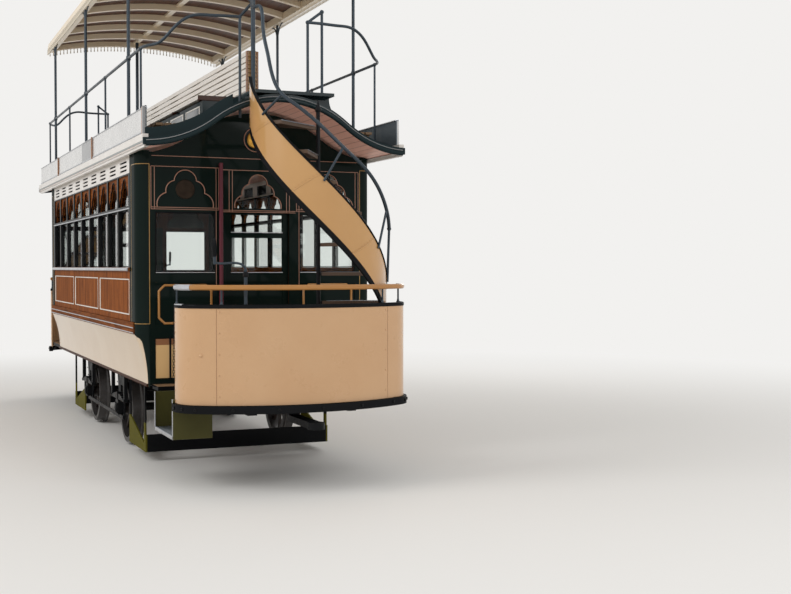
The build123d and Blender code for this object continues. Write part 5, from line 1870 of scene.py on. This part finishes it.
@dataclass(frozen=True)
class PlatformTrim:
    """Dash seams and beads, rail collars, entry chain, step treads, brake trim and bumper bolts."""

    car: Car
    rivet: float = 0.006
    seam_y: float = 0.678
    post_x: float = 3.812
    post_y: float = 0.6376
    links: int = 25
    link_pitch: float = 0.0205
    link_r: float = 0.0065
    wire: float = 0.0022
    well_long: float = 0.636
    well_outer: float = -0.925
    well_inner: float = -0.637
    tread_ribs: int = 12
    column_y: float = -0.465
    grip_z: float = 1.757
    crank_z: float = 1.607
    ratchet_r: float = 0.031
    teeth: int = 16

    def build(self) -> None:
        """Builds the trim of both platforms."""
        self.dash_seams()
        self.dash_bead()
        self.rail_collars()
        self.entry_chain()
        self.step_treads()
        self.brake_handle()
        self.bumper_bolts()

    def on_bow(self, y: float, z: float) -> tuple[Vector, Vector]:
        """A place on the bowed front of the dash.

        Args:
            y: The place across the car.
            z: The height.

        Returns:
            The point and the way out from it.
        """
        radius = self.car.platform_bow_r
        out = Vector((math.sqrt(radius ** 2 - y ** 2), y, 0)) / radius
        return Vector((self.car.platform_end - radius, 0, z)) + out * radius, out

    def dash_seams(self) -> None:
        """The seams where the dash sheets meet, with their rivets, and a bolt on the step side."""
        car = self.car
        seams, rivets = Shape(), Shape()
        low, high = car.platform_z - 0.055, car.dash_top_z - 0.004
        for side in (-1, 1):
            foot, out = self.on_bow(side * self.seam_y, low)
            head = self.on_bow(side * self.seam_y, high)[0]
            seams.sweep([foot, head], chamfered(0.003, 0.0016, 0.0004), up=out)
            for row in range(5):
                spot, way = self.on_bow(side * (self.seam_y - 0.019), car.platform_z + 0.005 + 0.1555 * row)
                rivets.rivet(spot, way, self.rivet)
            for row in range(9):
                z = car.platform_z + (car.dash_top_z - car.platform_z) * (row + 0.5) / 9
                spot = (car.dash_side_x + 0.022, side * car.platform_half, z)
                rivets.rivet(spot, (0, side, 0), self.rivet)
        spot, way = self.on_bow(-0.780, car.dash_top_z - 0.345)
        rivets.turn(spot, way, [(0.012, 0), (0.012, 0.004), (0.007, 0.008), (0.0, 0.009)], 8)
        seams.piece("dash_seams", Palette.seam_and_shade_tan, Slot.CREAM)
        rivets.piece("dash_rivets", Palette.cream, Slot.CREAM)

    def dash_bead(self) -> None:
        """A black bead over the dash's rim, with a bright tip at its step end."""
        beads, tips = Shape(), Shape()
        path = [(x, y, self.car.dash_top_z + 0.022) for x, y in self.car.platform_edge(0.006)]
        beads.sweep(path, half_round(0.018, 0.007), up=UP)
        tips.sweep(path[:6], half_round(0.021, 0.010), up=UP)
        beads.piece("dash_bead", Palette.black, Slot.IRON)
        tips.piece("dash_tips", Palette.silver, Slot.IRON)

    def rail_collars(self) -> None:
        """A silver sleeve on the step end of the dash handrail and collars at the feet of its posts."""
        car = self.car
        sleeves, collars = Shape(), Shape()
        path = [(x, y, car.dash_rail_z) for x, y in car.platform_edge(0.012)]
        path[0] = (path[0][0] - 0.003, path[0][1], path[0][2])
        sleeves.sweep(path[:9], chamfered(0.043, 0.043, 0.011), up=UP)
        for side in (-1, 1):
            feet = ((car.dash_side_x + 0.020, car.platform_half - 0.012), (self.post_x, self.post_y))
            for x, y in feet:
                collars.turn((x, side * y, car.dash_top_z + 0.022), UP,
                             [(0.015, 0), (0.015, 0.006), (0.010, 0.012), (0.0085, 0.026)], 12)
        sleeves.piece("dash_rail_sleeves", Palette.silver, Slot.OCHRE)
        collars.piece("dash_rail_collars", Palette.rail_steel, Slot.IRON)

    def entry_chain(self) -> None:
        """The entry chain that hangs from its hook on the step end of the dash."""
        car = self.car
        shape = Shape()
        x, y, top = car.dash_side_x - 0.004, -car.platform_half + 0.004, car.dash_top_z - 0.018
        hook = ((0.010, 0.0), (-0.014, 0.0), (-0.026, 0.010), (-0.028, 0.026))
        shape.rod([(x + a, y, top + b) for a, b in hook], 0.004, 8)
        radius = self.link_r
        bends = arc((0, radius), radius, 0, 180, 4) + arc((0, -radius), radius, 180, 360, 4)
        for number in range(self.links):
            middle = Vector((x - 0.018, y - 0.0004 * number, top - 0.012 - self.link_pitch * number))
            side = Vector(AHEAD) if number % 2 else Vector(OUTWARD)
            path = [middle + side * a + Vector((0, 0, b)) for a, b in bends]
            shape.sweep(path, circle(self.wire, 5), up=side.cross(Vector(UP)), loop=True)
        shape.piece("entry_chain", Palette.iron, Slot.IRON)

    def step_treads(self) -> None:
        """A ribbed steel tread and bright edges in each step well."""
        car = self.car
        treads, edges = Shape(), Shape()
        x1 = car.dash_side_x - 0.012
        x0 = x1 - self.well_long
        outer, inner, step = self.well_outer, self.well_inner, car.step_z
        low, high = step - 0.008, car.platform_z - 0.036
        treads.box((x0 + 0.014, outer + 0.002, step + 0.014), (x1 - 0.014, inner - 0.014, step + 0.018))
        for number in range(self.tread_ribs):
            y = inner - 0.024 + (outer - inner + 0.034) * number / (self.tread_ribs - 1)
            treads.box((x0 + 0.020, y - 0.005, step + 0.016), (x1 - 0.020, y + 0.005, step + 0.022), 0.002)
        edges.box((x0 - 0.002, outer - 0.004, low), (x1 + 0.002, outer + 0.004, step + 0.020), 0.003)
        for x in (x0 + 0.006, x1 - 0.006):
            edges.box((x - 0.008, outer - 0.004, low), (x + 0.008, outer + 0.004, high), 0.002)
        treads.piece("step_treads", Palette.steel, Slot.OLIVE)
        edges.piece("step_edges", Palette.silver, Slot.OLIVE)

    def brake_handle(self) -> None:
        """A black grip, a collar and a ratchet on each brake column."""
        grips, metal = Shape(), Shape()
        x, y, foot = self.car.platform_end - 0.130, self.column_y, self.car.platform_z
        grip = [(0.0125, 0), (0.015, 0.01), (0.017, 0.05), (0.016, 0.09), (0.0145, 0.125), (0.008, 0.133)]
        grips.turn((x, y - 0.233, self.grip_z), (0, -0.02, 1), grip, 14)
        grips.piece("brake_grips", Palette.black, Slot.IRON)
        collar = [(0.014, 0), (0.020, 0.006), (0.020, 0.034), (0.014, 0.042)]
        metal.turn((x, y, self.crank_z), UP, collar, 14)
        metal.turn((x, y, foot), UP, [(0.036, 0), (0.036, 0.010), (0.024, 0.016), (0.016, 0.05)], 16)
        for a, b in circle(self.ratchet_r, self.teeth):
            metal.turn((x + a, y + b, foot + 0.006), UP, [(0.005, 0), (0.003, 0.012)], 5)
        metal.piece("brake_ratchets", Palette.iron, Slot.IRON)

    def bumper_bolts(self) -> None:
        """Bolt heads along the black bumper band."""
        shape = Shape()
        outer = self.car.platform_edge(-0.026)
        for number in range(2, len(outer) - 1, 4):
            x, y = outer[number]
            before, after = Vector(outer[number - 1]), Vector(outer[number + 1])
            along = (after - before).normalized()
            out = Vector((along.y, -along.x, 0))
            shape.turn((x, y, self.car.platform_z - 0.091), out,
                       [(0.013, 0), (0.013, 0.005), (0.009, 0.009)], 6)
        shape.piece("bumper_bolts", Palette.iron, Slot.IRON)


@dataclass(frozen=True)
class RunningGear:
    """Bolts, bosses and lids on the axle boxes, spring eyes and the rivets of the axle guards."""

    car: Car
    axle_x: float = 0.900
    axle_z: float = 0.352
    plate_y: float = 0.8155

    def build(self) -> None:
        """Builds the fastenings of all four axle boxes."""
        shape = Shape()
        out = Vector(OUTWARD)
        x, y, z = self.axle_x, self.plate_y, self.axle_z
        for side in (-1, 1):
            for bolt in (z - 0.040, z + 0.040):
                shape.turn((x + side * 0.046, y + 0.062, bolt), out,
                           [(0.010, 0), (0.010, 0.007), (0.006, 0.010)], 6)
            eye = (x + side * 0.315, y + 0.018, z + 0.092)
            shape.turn(eye, out, [(0.018, 0), (0.018, 0.040), (0.010, 0.044)], 12)
            for row in range(4):
                shape.rivet((x + side * (0.112 + 0.036 * row), y + 0.014, z + 0.075 * row), out, 0.008)
        shape.box((x - 0.022, y + 0.058, z + 0.080), (x + 0.022, y + 0.066, z + 0.148), 0.003)
        shape.turn((x, y + 0.073, z), out, [(0.046, 0), (0.040, 0.006), (0.018, 0.010), (0.0, 0.012)], 18)
        shape.piece("axle_box_fastenings", Palette.iron, Slot.IRON, symmetry=Symmetry.ALL_FOUR)


@dataclass(frozen=True)
class Studio:
    """Pale floor, white surround, soft lamps and the camera at the photograph's angle."""

    eye: tuple[float, float, float] = (12.448, -2.947, 1.682)
    heading: float = 23.157
    pitch: float = 1.417
    lens: float = 55.09
    world: float = 0.72
    floor_r: float = 70.0
    floor_sides: int = 64
    lamp_aim: tuple[float, float, float] = (0.5, 0.0, 2.0)

    def build(self) -> None:
        """Sets the stage."""
        self.floor()
        self.surround()
        self.lamps()
        self.camera()
        bpy.context.scene.view_settings.view_transform = "Standard"

    def floor(self) -> None:
        """A wide round floor under the wheels."""
        mesh = bpy.data.meshes.new("studio_floor")
        rim = circle(self.floor_r, self.floor_sides)
        mesh.from_pydata([(x, y, 0.0) for x, y in rim], [], [tuple(range(self.floor_sides))])
        made = bpy.data.objects.new("studio_floor", mesh)
        bpy.context.scene.collection.objects.link(made)
        StudioFloor("pale_studio_floor").dress(made)

    def surround(self) -> None:
        """White to the eye, to gloss and through glass, and a plain level for light."""
        world = bpy.data.worlds.new("plain_surround")
        bpy.context.scene.world = world
        world.use_nodes = True
        tree = world.node_tree
        tree.nodes.clear()
        plain = put(tree, "Background", {"Color": linear("#F4F3F2"), "Strength": self.world})
        white = put(tree, "Background", {"Color": linear(SURROUND_WHITE), "Strength": 1.0})
        mixed = put(tree, "MixShader", {0: sees_white(tree), 1: plain, 2: white})
        put(tree, "OutputWorld", {"Surface": mixed})

    def lamps(self) -> None:
        """A large soft key from the near side and two weaker fills."""
        plan = (("key", (3.5, -9.5, 7.0), 6.0, 420.0), ("front", (11.0, 3.5, 6.0), 5.0, 180.0),
                ("back", (-7.0, 7.5, 6.5), 6.0, 220.0))
        for name, place, size, power in plan:
            lamp = bpy.data.lights.new("lamp_" + name, "AREA")
            lamp.shape = "DISK"
            lamp.size = size
            lamp.energy = power
            thing = bpy.data.objects.new("lamp_" + name, lamp)
            bpy.context.scene.collection.objects.link(thing)
            thing.location = place
            aim = Vector(self.lamp_aim) - Vector(place)
            thing.rotation_euler = aim.to_track_quat("-Z", "Y").to_euler()

    def camera(self) -> None:
        """The photograph's place, heading, pitch and lens."""
        lens = bpy.data.cameras.new("camera")
        lens.lens = self.lens
        lens.sensor_width = 36.0
        lens.clip_end = 300.0
        made = bpy.data.objects.new("camera", lens)
        bpy.context.scene.collection.objects.link(made)
        turn, dip = math.radians(self.heading), math.radians(self.pitch)
        aim = Vector((-math.cos(turn) * math.cos(dip), math.sin(turn) * math.cos(dip), -math.sin(dip)))
        made.location = self.eye
        made.rotation_euler = aim.to_track_quat("-Z", "Y").to_euler()
        bpy.context.scene.camera = made


def main() -> None:
    """Builds the whole picture around the CAD frame."""
    logging.basicConfig(level=logging.INFO, format="%(message)s")
    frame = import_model()
    car = Car()
    Studio().build()
    CadDress(frame["nodes"]).build()
    for part in (SaloonSides, EndWalls, RoofTrim, UpperDeck, Canopy, StairTrim, PlatformTrim, RunningGear):
        LOG.info("building %s", part.__name__)
        part(car).build()


if __name__ == "__main__":
    main()
